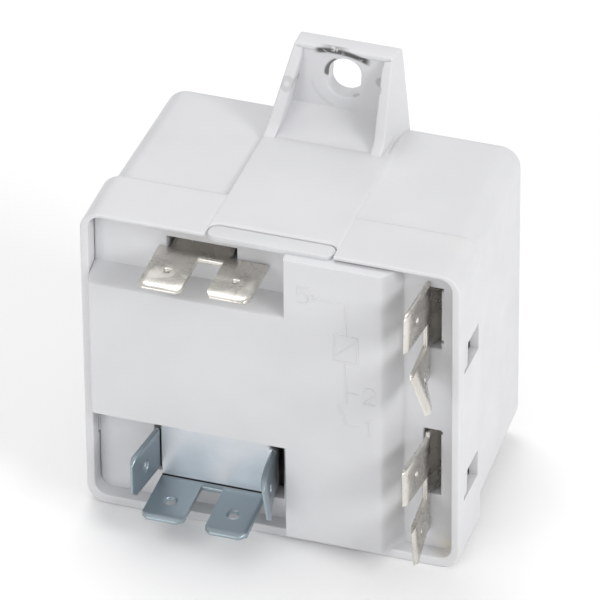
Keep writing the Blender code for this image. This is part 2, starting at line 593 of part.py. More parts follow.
def main():
    """Clear the scene and make every piece of the relay."""
    clear_scene()
    shell = material("case_plastic", (0.74, 0.74, 0.75), 0.45)
    plate = material("base_plastic", (0.70, 0.70, 0.71), 0.45)
    tin = material("tinned_brass", (0.62, 0.58, 0.53), 0.35, 1.0)
    zinc = material("bright_zinc", (0.55, 0.62, 0.68), 0.30, 1.0)
    nylon = material("bobbin_nylon", (0.80, 0.78, 0.70), 0.5)
    copper = material("enamelled_copper", (0.60, 0.25, 0.10), 0.35, 1.0)
    tape = material("coil_tape", (0.75, 0.60, 0.20), 0.4)
    iron = material("plated_iron", (0.50, 0.50, 0.48), 0.4, 1.0)
    bronze = material("spring_bronze", (0.70, 0.48, 0.25), 0.35, 1.0)
    silver = material("contact_silver", (0.85, 0.84, 0.80), 0.25, 1.0)
    phenolic = material("phenolic_card", (0.35, 0.18, 0.08), 0.6)
    steel = material("steel_wire", (0.60, 0.60, 0.60), 0.3, 1.0)
    paper = material("fish_paper", (0.30, 0.30, 0.28), 0.8)
    lead = material("lead_sleeve", (0.75, 0.72, 0.62), 0.5)

    make_case(shell)
    make_base(plate)
    make_terminal_5(tin)
    foot_2 = BLADE_X + 0.4 + GAP
    make_side_terminal("terminal_2", T2_Z, (39.0, 44.0), foot_2, (39.0, 44.0), 19.0, tin)
    foot_1 = BLADE_X + 0.4 + GAP + 1.0 + GAP + 1.4 + GAP
    make_side_terminal("terminal_1", T1_Z, (12.0, 19.0), foot_1, (12.0, 23.4), 4.0, tin)
    make_terminal_4(zinc)

    make_bobbin(nylon)
    low, high = COIL_X - COIL_LENGTH / 2 + 1.2 + GAP, COIL_X + COIL_LENGTH / 2 - 1.2 - GAP
    ring_solid("coil_winding", low, high, CORE_RADIUS + 1.3 + GAP, WINDING_RADIUS, copper)
    ring_solid("coil_wrap", low + 0.6, high - 0.6, WINDING_RADIUS + GAP, WINDING_RADIUS + 0.7, tape)
    make_core(iron)
    core_end = COIL_X - COIL_LENGTH / 2 - 2.1 - GAP
    ring_solid("core_nut", core_end - 1.6, core_end, CORE_RADIUS + GAP, 4.8, steel, 6)
    make_yoke(iron)
    make_armature(iron)
    shim_x = HINGE_X - 0.5 - GAP
    shim = rod("residual_shim", "x", (COIL_Y, COIL_Z), 1.4, shim_x - 0.15, shim_x, bronze, 16)
    set_origin(shim, (HINGE_X, COIL_Y, HINGE_Z))
    make_keeper(steel)
    helix("return_spring", -9.1, HINGE_X - 0.9, (COIL_Y, SPRING_Z), 1.5, 0.25, 7, steel)
    make_screw("yoke_screw_left", SCREW_X[0], steel)
    make_screw("yoke_screw_right", SCREW_X[1], steel)

    make_card(phenolic)
    for i, side in enumerate((-1, 1)):
        x = HINGE_X + 1.1 + GAP
        stud = rod(f"card_rivet_{('front', 'rear')[i]}", "x", (COIL_Y + side * 2.8, 26.0), 0.8,
                   x, x + 1.6, steel, 12)
        join(stud, rod(f"cut_rivet_head{i}", "x", (COIL_Y + side * 2.8, 26.0), 1.5,
                       x + 1.0 + GAP, x + 1.9, None, 12))
        set_origin(stud, (HINGE_X, COIL_Y, HINGE_Z))
    make_blade(bronze)
    front = BLADE_X + 0.4 + GAP
    moving = rod("moving_contact", "x", (COIL_Y, CONTACT_Z), 2.0, front, front + 1.0, silver)
    set_origin(moving, (BLADE_X + 0.2, COIL_Y, BLADE_TOP))
    rod("fixed_contact", "x", (COIL_Y, CONTACT_Z), 2.1, front + 1.0 + GAP, front + 2.4 + GAP,
        silver)
    make_blade_clamp(bronze)
    for i, side in enumerate((-1, 1)):
        rod(f"blade_rivet_{('front', 'rear')[i]}", "x", (COIL_Y + 1.5 * side, BLADE_TOP + 2.6), 0.9,
            BLADE_X - 1.3, BLADE_X - 0.4 - GAP, steel, 12)

    flange_top = COIL_Z + 10.8
    lead_x = COIL_X + COIL_LENGTH / 2 - 4.4
    wire_object("coil_lead_5", smooth_path([
        (lead_x, COIL_Y - 8.0, flange_top + 0.9), (lead_x - 1.6, COIL_Y - 8.6, flange_top + 3.6),
        (-9.6, COIL_Y - 8.0, 42.0), (-9.4, FLOOR_Y + 8.0, 44.0)]), 0.5, lead)
    wire_object("coil_lead_2", smooth_path([
        (lead_x + 2.6, COIL_Y - 8.0, flange_top + 0.9), (3.0, COIL_Y - 7.0, 40.0),
        (8.0, COIL_Y - 6.4, 42.6), (foot_2 - 1.3, COIL_Y - 5.6, 42.0)]), 0.5, lead)
    box("arc_barrier", (18.2, 18.8), (FLOOR_Y + 10.0, BACK_Y - 6.0), (7.0, 44.0), paper)
    box("insulating_sheet", (-23.6, 23.6), (BACK_Y - CASE_WALL - 1.2, BACK_Y - CASE_WALL - 0.7),
        (6.0, 45.6), paper)


main()
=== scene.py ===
"""Looks of a potential relay: a pale moulded box with a screw ear and push-on tabs.

Every shape is worked out in millimetres in the row frame (+Z up, the tabs point to -Y), as whole
numpy arrays, and is turned into metres when it becomes a mesh.
"""

import json
import logging
import math
from dataclasses import dataclass, field
from enum import Enum
from typing import Callable, Iterable, Sequence

import bmesh
import bpy
import numpy as np
from mathutils import Matrix, Vector


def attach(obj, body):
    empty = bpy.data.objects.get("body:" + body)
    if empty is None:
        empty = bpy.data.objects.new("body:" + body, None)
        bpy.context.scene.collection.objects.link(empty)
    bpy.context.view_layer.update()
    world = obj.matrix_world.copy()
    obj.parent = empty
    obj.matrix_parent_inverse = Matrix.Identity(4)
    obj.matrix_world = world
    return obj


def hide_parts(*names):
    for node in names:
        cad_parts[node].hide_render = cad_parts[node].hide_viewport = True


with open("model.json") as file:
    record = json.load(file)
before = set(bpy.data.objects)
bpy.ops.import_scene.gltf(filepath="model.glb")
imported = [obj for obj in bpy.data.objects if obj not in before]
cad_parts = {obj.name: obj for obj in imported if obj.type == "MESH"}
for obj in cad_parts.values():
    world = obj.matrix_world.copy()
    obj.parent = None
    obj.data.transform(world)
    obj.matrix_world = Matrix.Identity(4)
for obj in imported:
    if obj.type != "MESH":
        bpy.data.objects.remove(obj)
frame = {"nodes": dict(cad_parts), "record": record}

LOG = logging.getLogger("relay")
MM = 0.001
Socket = bpy.types.NodeSocket
FAR = 1.0e6  # a place beyond every side of a section, in millimetres
QUARTER = 0.5 * math.pi
Array = np.ndarray
Colour = tuple[float, float, float]
Placing = Callable[[Array, Array, Array], Array]
SOOT: Colour = (0.09, 0.088, 0.085)
FOLD_SHADE: Colour = (0.02, 0.02, 0.02)


# --- numbers ---


def clamp(x: Array) -> Array:
    """Hold values between 0 and 1."""
    return np.clip(x, 0.0, 1.0)


def smoothstep(low: float, high: float, x: Array) -> Array:
    """Rise from 0 at low to 1 at high with level ends: 3t squared minus 2t cubed.

    Args:
        low: where the rise starts.
        high: where it ends; it may be lower than low.
        x: places to evaluate.

    Returns:
        The heights, between 0 and 1.
    """
    t = clamp((x - low) / (high - low))
    return t * t * (3.0 - 2.0 * t)


def stops(marks: Iterable[float], spacing: float) -> Array:
    """Grid lines through every mark, with more lines between so that none is far from the next.

    Args:
        marks: places that must have a line.
        spacing: the widest step allowed.

    Returns:
        The sorted line places.
    """
    keys = np.unique(np.round(np.fromiter(marks, float), 4))
    parts = [np.linspace(a, b, max(2, int(math.ceil((b - a) / spacing)) + 1))[:-1]
             for a, b in zip(keys, keys[1:])]
    return np.concatenate(parts + [keys[-1:]])


def softened(stations: Array, reach: Sequence[float], steps: int) -> Array:
    """Round the corners of a chain of stations with parabolic arcs.

    Each corner B becomes (1-t)^2 A + 2t(1-t) B + t^2 C, where A and C lie on its two legs.

    Args:
        stations: rows of values; the first two columns measure distance.
        reach: how far from each corner its arc starts; 0 keeps the corner.
        steps: pieces in each arc.

    Returns:
        The longer chain.
    """
    rows: list[Array] = [stations[:1]]
    t = np.linspace(0.0, 1.0, steps + 1)[:, None]
    for before, corner, after, r in zip(stations, stations[1:], stations[2:], reach[1:]):
        if r <= 0.0:
            rows.append(corner[None])
            continue
        legs = [(other - corner) / max(np.linalg.norm((other - corner)[:2]), 1e-6)
                for other in (before, after)]
        start, end = (corner + leg * r for leg in legs)
        rows.append((1 - t) ** 2 * start + 2 * t * (1 - t) * corner + t**2 * end)
    return np.vstack(rows + [stations[-1:]])


def tangents(path: Array) -> Array:
    """Unit tangents along a path of points in a plane."""
    steps = np.gradient(path, axis=0)
    return steps / np.linalg.norm(steps, axis=1, keepdims=True)


def cell_middles(a: Array, b: Array) -> list[Array]:
    """Grids of the middles of the cells between two sets of grid lines."""
    return np.meshgrid((a[1:] + a[:-1]) / 2, (b[1:] + b[:-1]) / 2, indexing="ij")


def within(area: Sequence[float], a: Array, b: Array) -> Array:
    """True for places inside an area of (a low, a high, b low, b high)."""
    return (a > area[0]) & (a < area[1]) & (b > area[2]) & (b < area[3])


# --- surfaces ---


@dataclass
class Surface:
    """Points in millimetres, quads over them, and any larger faces that close an end."""

    points: Array
    quads: Array
    caps: list[list[int]] = field(default_factory=list)

    @staticmethod
    def merged(parts: Sequence["Surface"]) -> "Surface":
        """Several surfaces as one, their indices shifted past each other."""
        offsets = np.cumsum([0] + [len(p.points) for p in parts])
        return Surface(
            np.vstack([p.points for p in parts]),
            np.vstack([p.quads + o for p, o in zip(parts, offsets)]),
            [[i + int(o) for i in cap] for p, o in zip(parts, offsets) for cap in p.caps],
        )

    @classmethod
    def tube(cls, rings: Array) -> "Surface":
        """A grid of points, one ring a row, with each ring joined to the next and capped ends."""
        count, size = rings.shape[:2]
        last = (count - 1) * size
        return cls(rings.reshape(-1, 3), grid_quads(count, size),
                   [list(range(size)), list(range(last, last + size))])

    def mirrored_x(self) -> "Surface":
        """The same surface on the other side of the plane x = 0."""
        return Surface(self.points * (-1.0, 1.0, 1.0), self.quads, self.caps)


def grid_quads(rows: int, columns: int) -> Array:
    """Quads over a grid of points stored row by row, the last column joined to the first.

    Args:
        rows: number of rows.
        columns: number of columns.

    Returns:
        An array of four point numbers for each quad.
    """
    index = np.arange(rows * columns).reshape(rows, columns)
    index = np.hstack([index, index[:, :1]])
    a, b, c, d = index[:-1, :-1], index[:-1, 1:], index[1:, 1:], index[1:, :-1]
    return np.stack([a, b, c, d], axis=-1).reshape(-1, 4)


def new_object(name: str, data: bpy.types.ID) -> bpy.types.Object:
    """Put a new object into the scene."""
    obj = bpy.data.objects.new(name, data)
    bpy.context.scene.collection.objects.link(obj)
    return obj


def make_piece(name: str, surface: Surface, finish: "Finishes", stands_for: Sequence[str] = (),
               crease: float = 32.0, body: str = "housing") -> None:
    """Turn a surface into a finished object that rides on a body.

    Args:
        name: the object's name.
        surface: its shape.
        finish: its finish, which is named after its material slot in the record.
        stands_for: CAD nodes that it replaces.
        crease: edges sharper than this many degrees stay sharp.
        body: the CAD body that carries it.
    """
    mesh = bpy.data.meshes.new(name)
    faces = surface.quads.tolist() + surface.caps
    mesh.from_pydata((surface.points * MM).tolist(), [], faces)
    builder = bmesh.new()
    builder.from_mesh(mesh)
    bmesh.ops.remove_doubles(builder, verts=builder.verts, dist=2e-6)
    bmesh.ops.dissolve_degenerate(builder, edges=builder.edges, dist=1e-7)
    bmesh.ops.recalc_face_normals(builder, faces=builder.faces)
    if builder.calc_volume(signed=True) < 0:
        bmesh.ops.reverse_faces(builder, faces=builder.faces)
    builder.to_mesh(mesh)
    builder.free()
    mesh.polygons.foreach_set("use_smooth", np.ones(len(mesh.polygons), bool))
    mesh.set_sharp_from_angle(angle=math.radians(crease))
    mesh.materials.append(finish.value.material())
    obj = new_object(name, mesh)
    if stands_for:
        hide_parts(*stands_for)
    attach(obj, body)
    LOG.info("%s: %d points, %d faces", name, len(mesh.vertices), len(mesh.polygons))


@dataclass(frozen=True)
class Outline:
    """Sampling of a rounded rectangle: a centre held inside it, plus a turning radius.

    A point is (held qa + r cos phi, held qb + r sin phi), where both stay inside the rectangle
    shrunk by r. FAR in qa or qb sends the centre to that side.
    """

    qa: Array
    qb: Array
    phi: Array

    @classmethod
    def around(cls, steps: int, a_marks: Sequence[float] = (),
               b_marks: Sequence[float] = ()) -> "Outline":
        """Go round once, from the lower right corner.

        Args:
            steps: pieces in each corner's arc.
            a_marks: places along the lower and upper sides that get a point.
            b_marks: places along the two upright sides that get a point.

        Returns:
            The sampling.
        """
        arc = np.linspace(0.0, QUARTER, steps + 1)
        a, b = np.sort(np.array(a_marks, float)), np.sort(np.array(b_marks, float))
        sides = (
            (FAR, -FAR, arc - QUARTER), (FAR, b, 0.0), (FAR, FAR, arc), (a[::-1], FAR, QUARTER),
            (-FAR, FAR, arc + QUARTER), (-FAR, b[::-1], math.pi),
            (-FAR, -FAR, arc + math.pi), (a, -FAR, 3 * QUARTER),
        )
        full = [np.broadcast_arrays(*side) for side in sides]
        return cls(*(np.concatenate([side[i] for side in full]) for i in range(3)))

    def points(self, a: tuple[Array, Array], b: tuple[Array, Array],
               radius: Array) -> tuple[Array, Array]:
        """The outline at every station.

        Args:
            a: lowest and highest a at each station.
            b: the same for b.
            radius: the corner radius at each station.

        Returns:
            Two grids, stations by outline points.
        """
        r = radius[:, None]
        grid_a = np.clip(self.qa, a[0][:, None] + r, a[1][:, None] - r) + r * np.cos(self.phi)
        grid_b = np.clip(self.qb, b[0][:, None] + r, b[1][:, None] - r) + r * np.sin(self.phi)
        return grid_a, grid_b


class Axis(Enum):
    """Which axis a chain of sections runs along, and where its (along, a, b) go."""

    X = (0, 1, 2)
    Y = (1, 0, 2)
    Z = (2, 0, 1)


def sections(outline: Outline, axis: Axis, rows: Array) -> Surface:
    """Carry a rounded rectangle through a chain of stations and close both ends.

    Args:
        outline: the sampling round the rectangle.
        axis: the direction of the chain.
        rows: one station a row: along, a low, a high, b low, b high, radius.

    Returns:
        The closed surface.
    """
    along, a_low, a_high, b_low, b_high, radius = rows.T
    a, b = outline.points((a_low, a_high), (b_low, b_high), radius)
    points = np.empty((*a.shape, 3))
    for value, place in zip((np.broadcast_to(along[:, None], a.shape), a, b), axis.value):
        points[..., place] = value
    return Surface.tube(points)


def soft_block(axis: Axis, low: Sequence[float], high: Sequence[float], edge: float,
               corner: float) -> Surface:
    """A block whose edges are all rounded.

    Args:
        axis: the direction that the corner radius goes round.
        low: its lowest corner.
        high: its highest corner.
        edge: the rounding at the two ends.
        corner: the radius of the four long edges.

    Returns:
        The closed surface.
    """
    c, i, j = axis.value
    steps = 4
    t = np.linspace(0.0, QUARTER, steps + 1)
    rise, pull = edge * (1 - np.sin(t)), edge * (1 - np.cos(t))
    lift = np.concatenate([low[c] + rise[::-1], high[c] - rise])
    inset = np.concatenate([pull[::-1], pull])
    radius = np.maximum(corner - inset, 0.02)
    rows = np.stack([lift, low[i] + inset, high[i] - inset, low[j] + inset, high[j] - inset,
                     radius], axis=1)
    return sections(Outline.around(steps), axis, rows)


def pierced_plate(a: Array, b: Array, filled: Array, front: Array, back: Array,
                  place: Placing) -> Surface:
    """Two skins over the filled cells of a grid, joined by walls wherever filled meets empty.

    Args:
        a: the grid's lines one way.
        b: its lines the other way.
        filled: True for each cell that has material.
        front: height of the front skin at each crossing.
        back: height of the back skin at each crossing.
        place: turns grids of (a, b, height) into points.

    Returns:
        The closed surface.
    """
    ga, gb = np.meshgrid(a, b, indexing="ij")
    points = np.concatenate([place(ga, gb, front).reshape(-1, 3),
                             place(ga, gb, back).reshape(-1, 3)])
    index = np.arange(ga.size).reshape(ga.shape)
    cells = np.stack([index[:-1, :-1], index[1:, :-1], index[1:, 1:], index[:-1, 1:]], axis=-1)
    skin = cells[filled]
    rear = ga.size
    padded = np.pad(filled, 1).astype(int)
    across = np.diff(padded, axis=0)[:, 1:-1]
    along = np.diff(padded, axis=1)[1:-1, :]
    walls = []
    for step, first, second in ((across, index[:, :-1], index[:, 1:]),
                                (along, index[:-1, :], index[1:, :])):
        p, q = first[step != 0], second[step != 0]
        walls.append(np.stack([p, q, q + rear, p + rear], axis=-1))
    quads = np.concatenate([skin, skin[:, ::-1] + rear, *walls])
    used, quads = np.unique(quads, return_inverse=True)
    return Surface(points[used], quads.reshape(-1, 4))


def on_border(filled: Array) -> Array:
    """True at each crossing where filled and empty cells meet."""
    padded = np.pad(filled, 1).astype(int)
    around = padded[:-1, :-1] + padded[1:, :-1] + padded[:-1, 1:] + padded[1:, 1:]
    return (around > 0) & (around < 4)


def bead(path: Array, y: float, width: float, height: float) -> Surface:
    """A low round-topped bead carried along a path on an upright face that looks to -Y.

    Its profile is an ellipse: width times cos t to the side, height times sin t outwards.

    Args:
        path: rows of (x, z).
        y: the face's place.
        width: half the bead's width.
        height: how far it stands out.

    Returns:
        The closed surface.
    """
    tangent = tangents(path)
    t = np.linspace(0.0, 2.0 * math.pi, 13)[:-1]
    side, rise = width * np.cos(t), height * np.sin(t)
    x = path[:, :1] - tangent[:, 1:] * side
    z = path[:, 1:] + tangent[:, :1] * side
    return Surface.tube(np.stack([x, np.broadcast_to(y - rise, x.shape), z], axis=-1))


# --- finishes ---


class Graph:
    """A short way to add and link the nodes of one material."""

    def __init__(self, name: str) -> None:
        """Start a material that holds one Principled shader."""
        self.made = bpy.data.materials.new(name)
        self.made.use_nodes = True
        self.tree = self.made.node_tree
        self.shader = self.tree.nodes["Principled BSDF"]
        self.coords = self.tree.nodes.new("ShaderNodeTexCoord").outputs["Object"]

    def link(self, value: object, socket: Socket) -> None:
        """Feed a socket from another one, or set it to a plain value."""
        if isinstance(value, Socket):
            self.tree.links.new(value, socket)
        else:
            socket.default_value = value

    def node(self, kind: str, **inputs: object) -> bpy.types.ShaderNode:
        """Add a node and feed its inputs by name."""
        node = self.tree.nodes.new("ShaderNode" + kind)
        for name, value in inputs.items():
            self.link(value, node.inputs[name])
        return node

    def math(self, kind: str, *values: object) -> Socket:
        """One Math node."""
        node = self.node("Math")
        node.operation = kind
        for value, socket in zip(values, node.inputs):
            self.link(value, socket)
        return node.outputs[0]

    def moved(self, scale: Sequence[float], shift: Sequence[float] = (0, 0, 0)) -> Socket:
        """Object coordinates through a Mapping node."""
        return self.node("Mapping", Vector=self.coords, Scale=scale, Location=shift).outputs[0]

    def noise(self, scale: float, detail: float = 3.0, vector: object = None,
              distortion: float = 0.0) -> Socket:
        """Cloudy noise between about 0.3 and 0.7."""
        return self.node("TexNoise", Vector=vector or self.coords, Scale=scale, Detail=detail,
                         Distortion=distortion).outputs["Fac"]

    def spread(self, value: object, low: float, high: float, to_low: float = 0.0,
               to_high: float = 1.0) -> Socket:
        """A clamped smooth map from one range to another."""
        node = self.node("MapRange")
        node.interpolation_type = "SMOOTHSTEP"
        for place, number in enumerate((low, high, to_low, to_high), 1):
            node.inputs[place].default_value = number
        self.link(value, node.inputs[0])
        return node.outputs[0]

    def blend(self, factor: object, first: object, second: object) -> Socket:
        """A mix of two colours."""
        node = self.node("Mix")
        node.data_type = "RGBA"
        self.link(factor, node.inputs[0])
        for value, place in ((first, 6), (second, 7)):
            self.link((*value, 1.0) if isinstance(value, tuple) else value, node.inputs[place])
        return node.outputs[2]

    def distance(self, centre: Sequence[float], scale: Sequence[float] = (1, 1, 1)) -> Socket:
        """How far a place is from a centre, in millimetres, each axis weighted by scale."""
        node = self.node("VectorMath")
        node.operation = "LENGTH"
        shift = [-c * s for c, s in zip(centre, scale)]
        self.link(self.moved([s / MM for s in scale], shift), node.inputs[0])
        return node.outputs["Value"]

    def depth(self) -> Socket:
        """How far a place is from the plane y = 0, in millimetres."""
        return self.distance((0.0, 0.0, 0.0), (0.0, 1.0, 0.0))

    def bump(self, height: object, depth: float, strength: float, **under: object) -> Socket:
        """A bump of a given depth in millimetres, over the Normal given in under, if any."""
        return self.node("Bump", Strength=strength, Distance=depth * MM, Height=height,
                         **under).outputs[0]

    def finish(self, **sockets: object) -> bpy.types.Material:
        """Set the shader's sockets by name, with underscores for spaces."""
        for name, value in sockets.items():
            socket = self.shader.inputs[name.replace("_", " ")]
            self.link((*value, 1.0) if socket.type == "RGBA" and isinstance(value, tuple)
                      else value, socket)
        return self.made


@dataclass(frozen=True)
class Finish:
    """A surface finish; each kind builds its own material."""

    name: str
    colour: Colour
    roughness: float

    def material(self) -> bpy.types.Material:
        """The finish's material, built once and shared."""
        return bpy.data.materials.get(self.name) or self.build()

    def build(self) -> bpy.types.Material:
        """Make the material."""
        raise NotImplementedError


def tinted(colour: Colour, factor: float) -> Colour:
    """A colour made lighter or darker."""
    return tuple(min(1.0, c * factor) for c in colour)


@dataclass(frozen=True)
class MouldedPlastic(Finish):
    """Satin moulded plastic: faint clouding, a fine pebble, and handling marks and painted shade
    patches where asked.

    The stain list holds (centre, radius, colour, strength) of soft marks in the row frame: real
    stains, and painted shade where a grey patch stands for shade in a recess. scuffs lists
    (centre, radius, width, strength, near, reach) of dark rings on the ear's face, each of them
    seen only within reach of a place.
    """

    stains: tuple = ()
    scuffs: tuple = ()

    def build(self) -> bpy.types.Material:
        """Make the material."""
        g = Graph(self.name)
        cloud = g.spread(g.noise(70.0, 4.0), 0.3, 0.7)
        colour = g.blend(cloud, tinted(self.colour, 0.975), tinted(self.colour, 1.02))
        # Each patch tints the colour towards its own: real stains, and painted shade where a grey
        # patch stands for shade in a recess.
        for centre, radius, tint, strength in self.stains:
            edge = g.math("ADD", g.distance(centre), g.math("MULTIPLY", g.noise(600.0), 2.0))
            colour = g.blend(g.spread(edge, radius + 1.6, 0.6, 0.0, strength), colour, tint)
        rough = g.spread(g.noise(220.0, 5.0), 0.3, 0.7, self.roughness - 0.05,
                         self.roughness + 0.07)
        flat = (1.0, 0.25, 1.0)
        for centre, radius, width, strength, near, reach in self.scuffs:
            ring = g.math("ABSOLUTE", g.math("SUBTRACT", g.distance(centre, flat), radius))
            worn = g.spread(g.noise(900.0, 6.0, distortion=1.0), 0.28, 0.44)
            worn = g.math("MULTIPLY", worn, g.spread(g.depth(), 19.7, 19.3))
            mask = g.math("MULTIPLY", g.spread(ring, width, width * 0.4, 0.0, strength), worn)
            mask = g.math("MULTIPLY", mask, g.spread(g.distance(near, flat), reach, reach * 0.75))
            colour = g.blend(mask, colour, SOOT)
        pebble = g.bump(g.noise(5200.0, 2.0), 0.004, 0.35)
        wave = g.bump(g.noise(160.0, 2.0), 0.05, 0.25, Normal=pebble)
        return g.finish(Base_Color=colour, Roughness=rough, Normal=wave, IOR=1.46,
                        Subsurface_Weight=0.06, Subsurface_Radius=(0.6, 0.6, 0.6),
                        Subsurface_Scale=0.002)


@dataclass(frozen=True)
class PlatedStrip(Finish):
    """Rolled and plated sheet metal: rolling lines one way, cloudy plating and small marks.

    ahead gives (colour, start, end): the colour turns to that one between two depths along Y.
    folds lists (place, axes) of painted shade: dark lines inside sharp folds, where the folded
    parts shade each other.
    """

    grain: tuple = (1.0, 0.08, 1.0)
    tarnish: Colour = (0.3, 0.27, 0.24)
    marking: float = 0.4
    cloudy: float = 0.07
    dent: float = 0.01
    metal: float = 1.0
    ahead: tuple = ()
    folds: tuple = ()

    def build(self) -> bpy.types.Material:
        """Make the material."""
        g = Graph(self.name)
        lines = g.noise(3000.0, 3.0, g.moved(self.grain))
        cloud = g.spread(g.noise(260.0, 5.0, distortion=0.6), 0.35, 0.68)
        colour = g.blend(cloud, tinted(self.colour, 1.0 - self.cloudy),
                         tinted(self.colour, 1.0 + self.cloudy))
        if self.ahead:
            darker, start, end = self.ahead
            colour = g.blend(g.spread(g.depth(), start, end), colour, darker)
        # Painted shade: a dark line along each fold, where the folded parts shade each other.
        for centre, axes in self.folds:
            line = g.spread(g.distance(centre, axes), 0.26, 0.12)
            colour = g.blend(line, colour, FOLD_SHADE)
        spots = g.spread(g.noise(900.0, 6.0, distortion=0.8), 0.56, 0.72, 0.0, self.marking)
        colour = g.blend(spots, colour, self.tarnish)
        rough = g.math("ADD", g.spread(cloud, 0.0, 1.0, self.roughness - self.cloudy * 0.6,
                                       self.roughness + self.cloudy),
                       g.math("MULTIPLY", spots, 0.25))
        rolled = g.bump(lines, 0.0035, 0.5)
        dents = g.bump(g.noise(420.0, 2.0), self.dent, 0.4, Normal=rolled)
        return g.finish(Base_Color=colour, Metallic=self.metal, Roughness=rough, Normal=dents)


@dataclass(frozen=True)
class WoundWire(Finish):
    """Fine enamelled wire: each turn is a ridge round the coil's axis, with painted shade in the
    grooves between turns.
    """

    pitch: float = 0.18

    def build(self) -> bpy.types.Material:
        """Make the material."""
        g = Graph(self.name)
        node = g.node("TexWave", Vector=g.coords, Scale=0.314 / (self.pitch * MM), Distortion=0.4)
        node.bands_direction = "X"
        ridge = node.outputs["Fac"]
        # Painted shade: the colour darkens in the grooves between turns, on top of the bump.
        colour = g.blend(ridge, tinted(self.colour, 0.45), self.colour)
        return g.finish(Base_Color=colour, Metallic=1.0, Roughness=self.roughness,
                        Normal=g.bump(ridge, 0.05, 0.8), Coat_Weight=0.5, Coat_Roughness=0.2)


@dataclass(frozen=True)
class Sheet(Finish):
    """Paper, fibre or resin sheet: short fibres that show as specks and a soft bump."""

    fibre: float = 900.0

    def build(self) -> bpy.types.Material:
        """Make the material."""
        g = Graph(self.name)
        fibres = g.noise(self.fibre, 6.0, g.moved((1.0, 0.25, 1.0)), 1.2)
        colour = g.blend(g.spread(fibres, 0.35, 0.65), tinted(self.colour, 0.93),
                         tinted(self.colour, 1.05))
        return g.finish(Base_Color=colour, Roughness=self.roughness,
                        Normal=g.bump(fibres, 0.02, 0.5))


class Finishes(Enum):
    """Every finish on the relay, under its slot in the record."""

    case_plastic = MouldedPlastic(
        "case moulding", (0.655, 0.658, 0.672), 0.42,
        stains=(((26.0, -11.5, 1.8), 2.2, (0.76, 0.69, 0.5), 0.35),
                ((25.0, -5.0, 50.0), 3.0, (0.72, 0.70, 0.66), 0.25)),
        scuffs=(((-0.6, 19.0, 51.0), 12.0, 0.75, 1.0, (0.6, 19.0, 62.8), 4.5),
                ((0.95, 19.0, 58.9), 2.75, 0.6, 0.9, (-1.3, 19.0, 60.2), 1.9),
                ((0.95, 19.0, 58.6), 3.1, 0.3, 0.3, (2.6, 19.0, 55.9), 0.7),
                ((0.95, 19.0, 58.4), 5.2, 0.4, 0.08, (-3.0, 19.0, 55.2), 3.0),
                ((6.3, 18.6, 58.9), 0.4, 0.6, 0.3, (6.3, 18.6, 58.9), 1.3),
                ((-7.0, 17.3, 57.7), 0.8, 0.5, 0.2, (-7.0, 17.3, 57.7), 1.6)))
    base_plastic = MouldedPlastic(
        "base moulding", (0.635, 0.640, 0.655), 0.45,
        stains=(((25.8, -11.0, 2.4), 2.4, (0.76, 0.68, 0.48), 0.45),
                # Painted shade: this grey patch darkens the top of the recess round terminal 5,
                # under the rim.
                ((-8.9, -11.0, 49.0), 6.0, (0.60, 0.59, 0.57), 0.35)))
    tinned_brass = PlatedStrip("tinned brass", (0.70, 0.675, 0.63), 0.3)
    bright_zinc = PlatedStrip("bright zinc", (0.72, 0.75, 0.785), 0.33,
                              tarnish=(0.36, 0.42, 0.46), marking=0.06, cloudy=0.02,
                              dent=0.0012, metal=0.8,
                              ahead=((0.34, 0.40, 0.44), 12.0, 12.4),
                              # painted shade lines along the bracket's two folds
                              folds=(((-17.2, -12.0, 0.0), (1.0, 1.0, 0.0)),
                                     ((0.0, -12.0, 6.3), (0.0, 1.0, 1.0))))
    bobbin_nylon = MouldedPlastic("bobbin nylon", (0.78, 0.75, 0.66), 0.5)
    enamelled_copper = WoundWire("enamelled copper", (0.72, 0.30, 0.12), 0.3)
    coil_tape = Sheet("coil tape", (0.78, 0.58, 0.14), 0.3, fibre=400.0)
    plated_iron = PlatedStrip("plated iron", (0.56, 0.56, 0.53), 0.38, marking=0.5)
    steel_hardware = PlatedStrip("plated steel", (0.66, 0.66, 0.65), 0.3, marking=0.3)
    spring_bronze = PlatedStrip("spring bronze", (0.74, 0.50, 0.26), 0.28,
                                tarnish=(0.35, 0.2, 0.1))
    contact_silver = PlatedStrip("contact silver", (0.87, 0.86, 0.83), 0.2,
                                 tarnish=(0.3, 0.28, 0.25), marking=0.3)
    phenolic_card = Sheet("phenolic card", (0.33, 0.17, 0.08), 0.45)
    lead_sleeve = Sheet("lead sleeve", (0.76, 0.73, 0.62), 0.55, fibre=2500.0)
    fish_paper = Sheet("fish paper", (0.27, 0.27, 0.25), 0.75)


# --- the moulded case ---


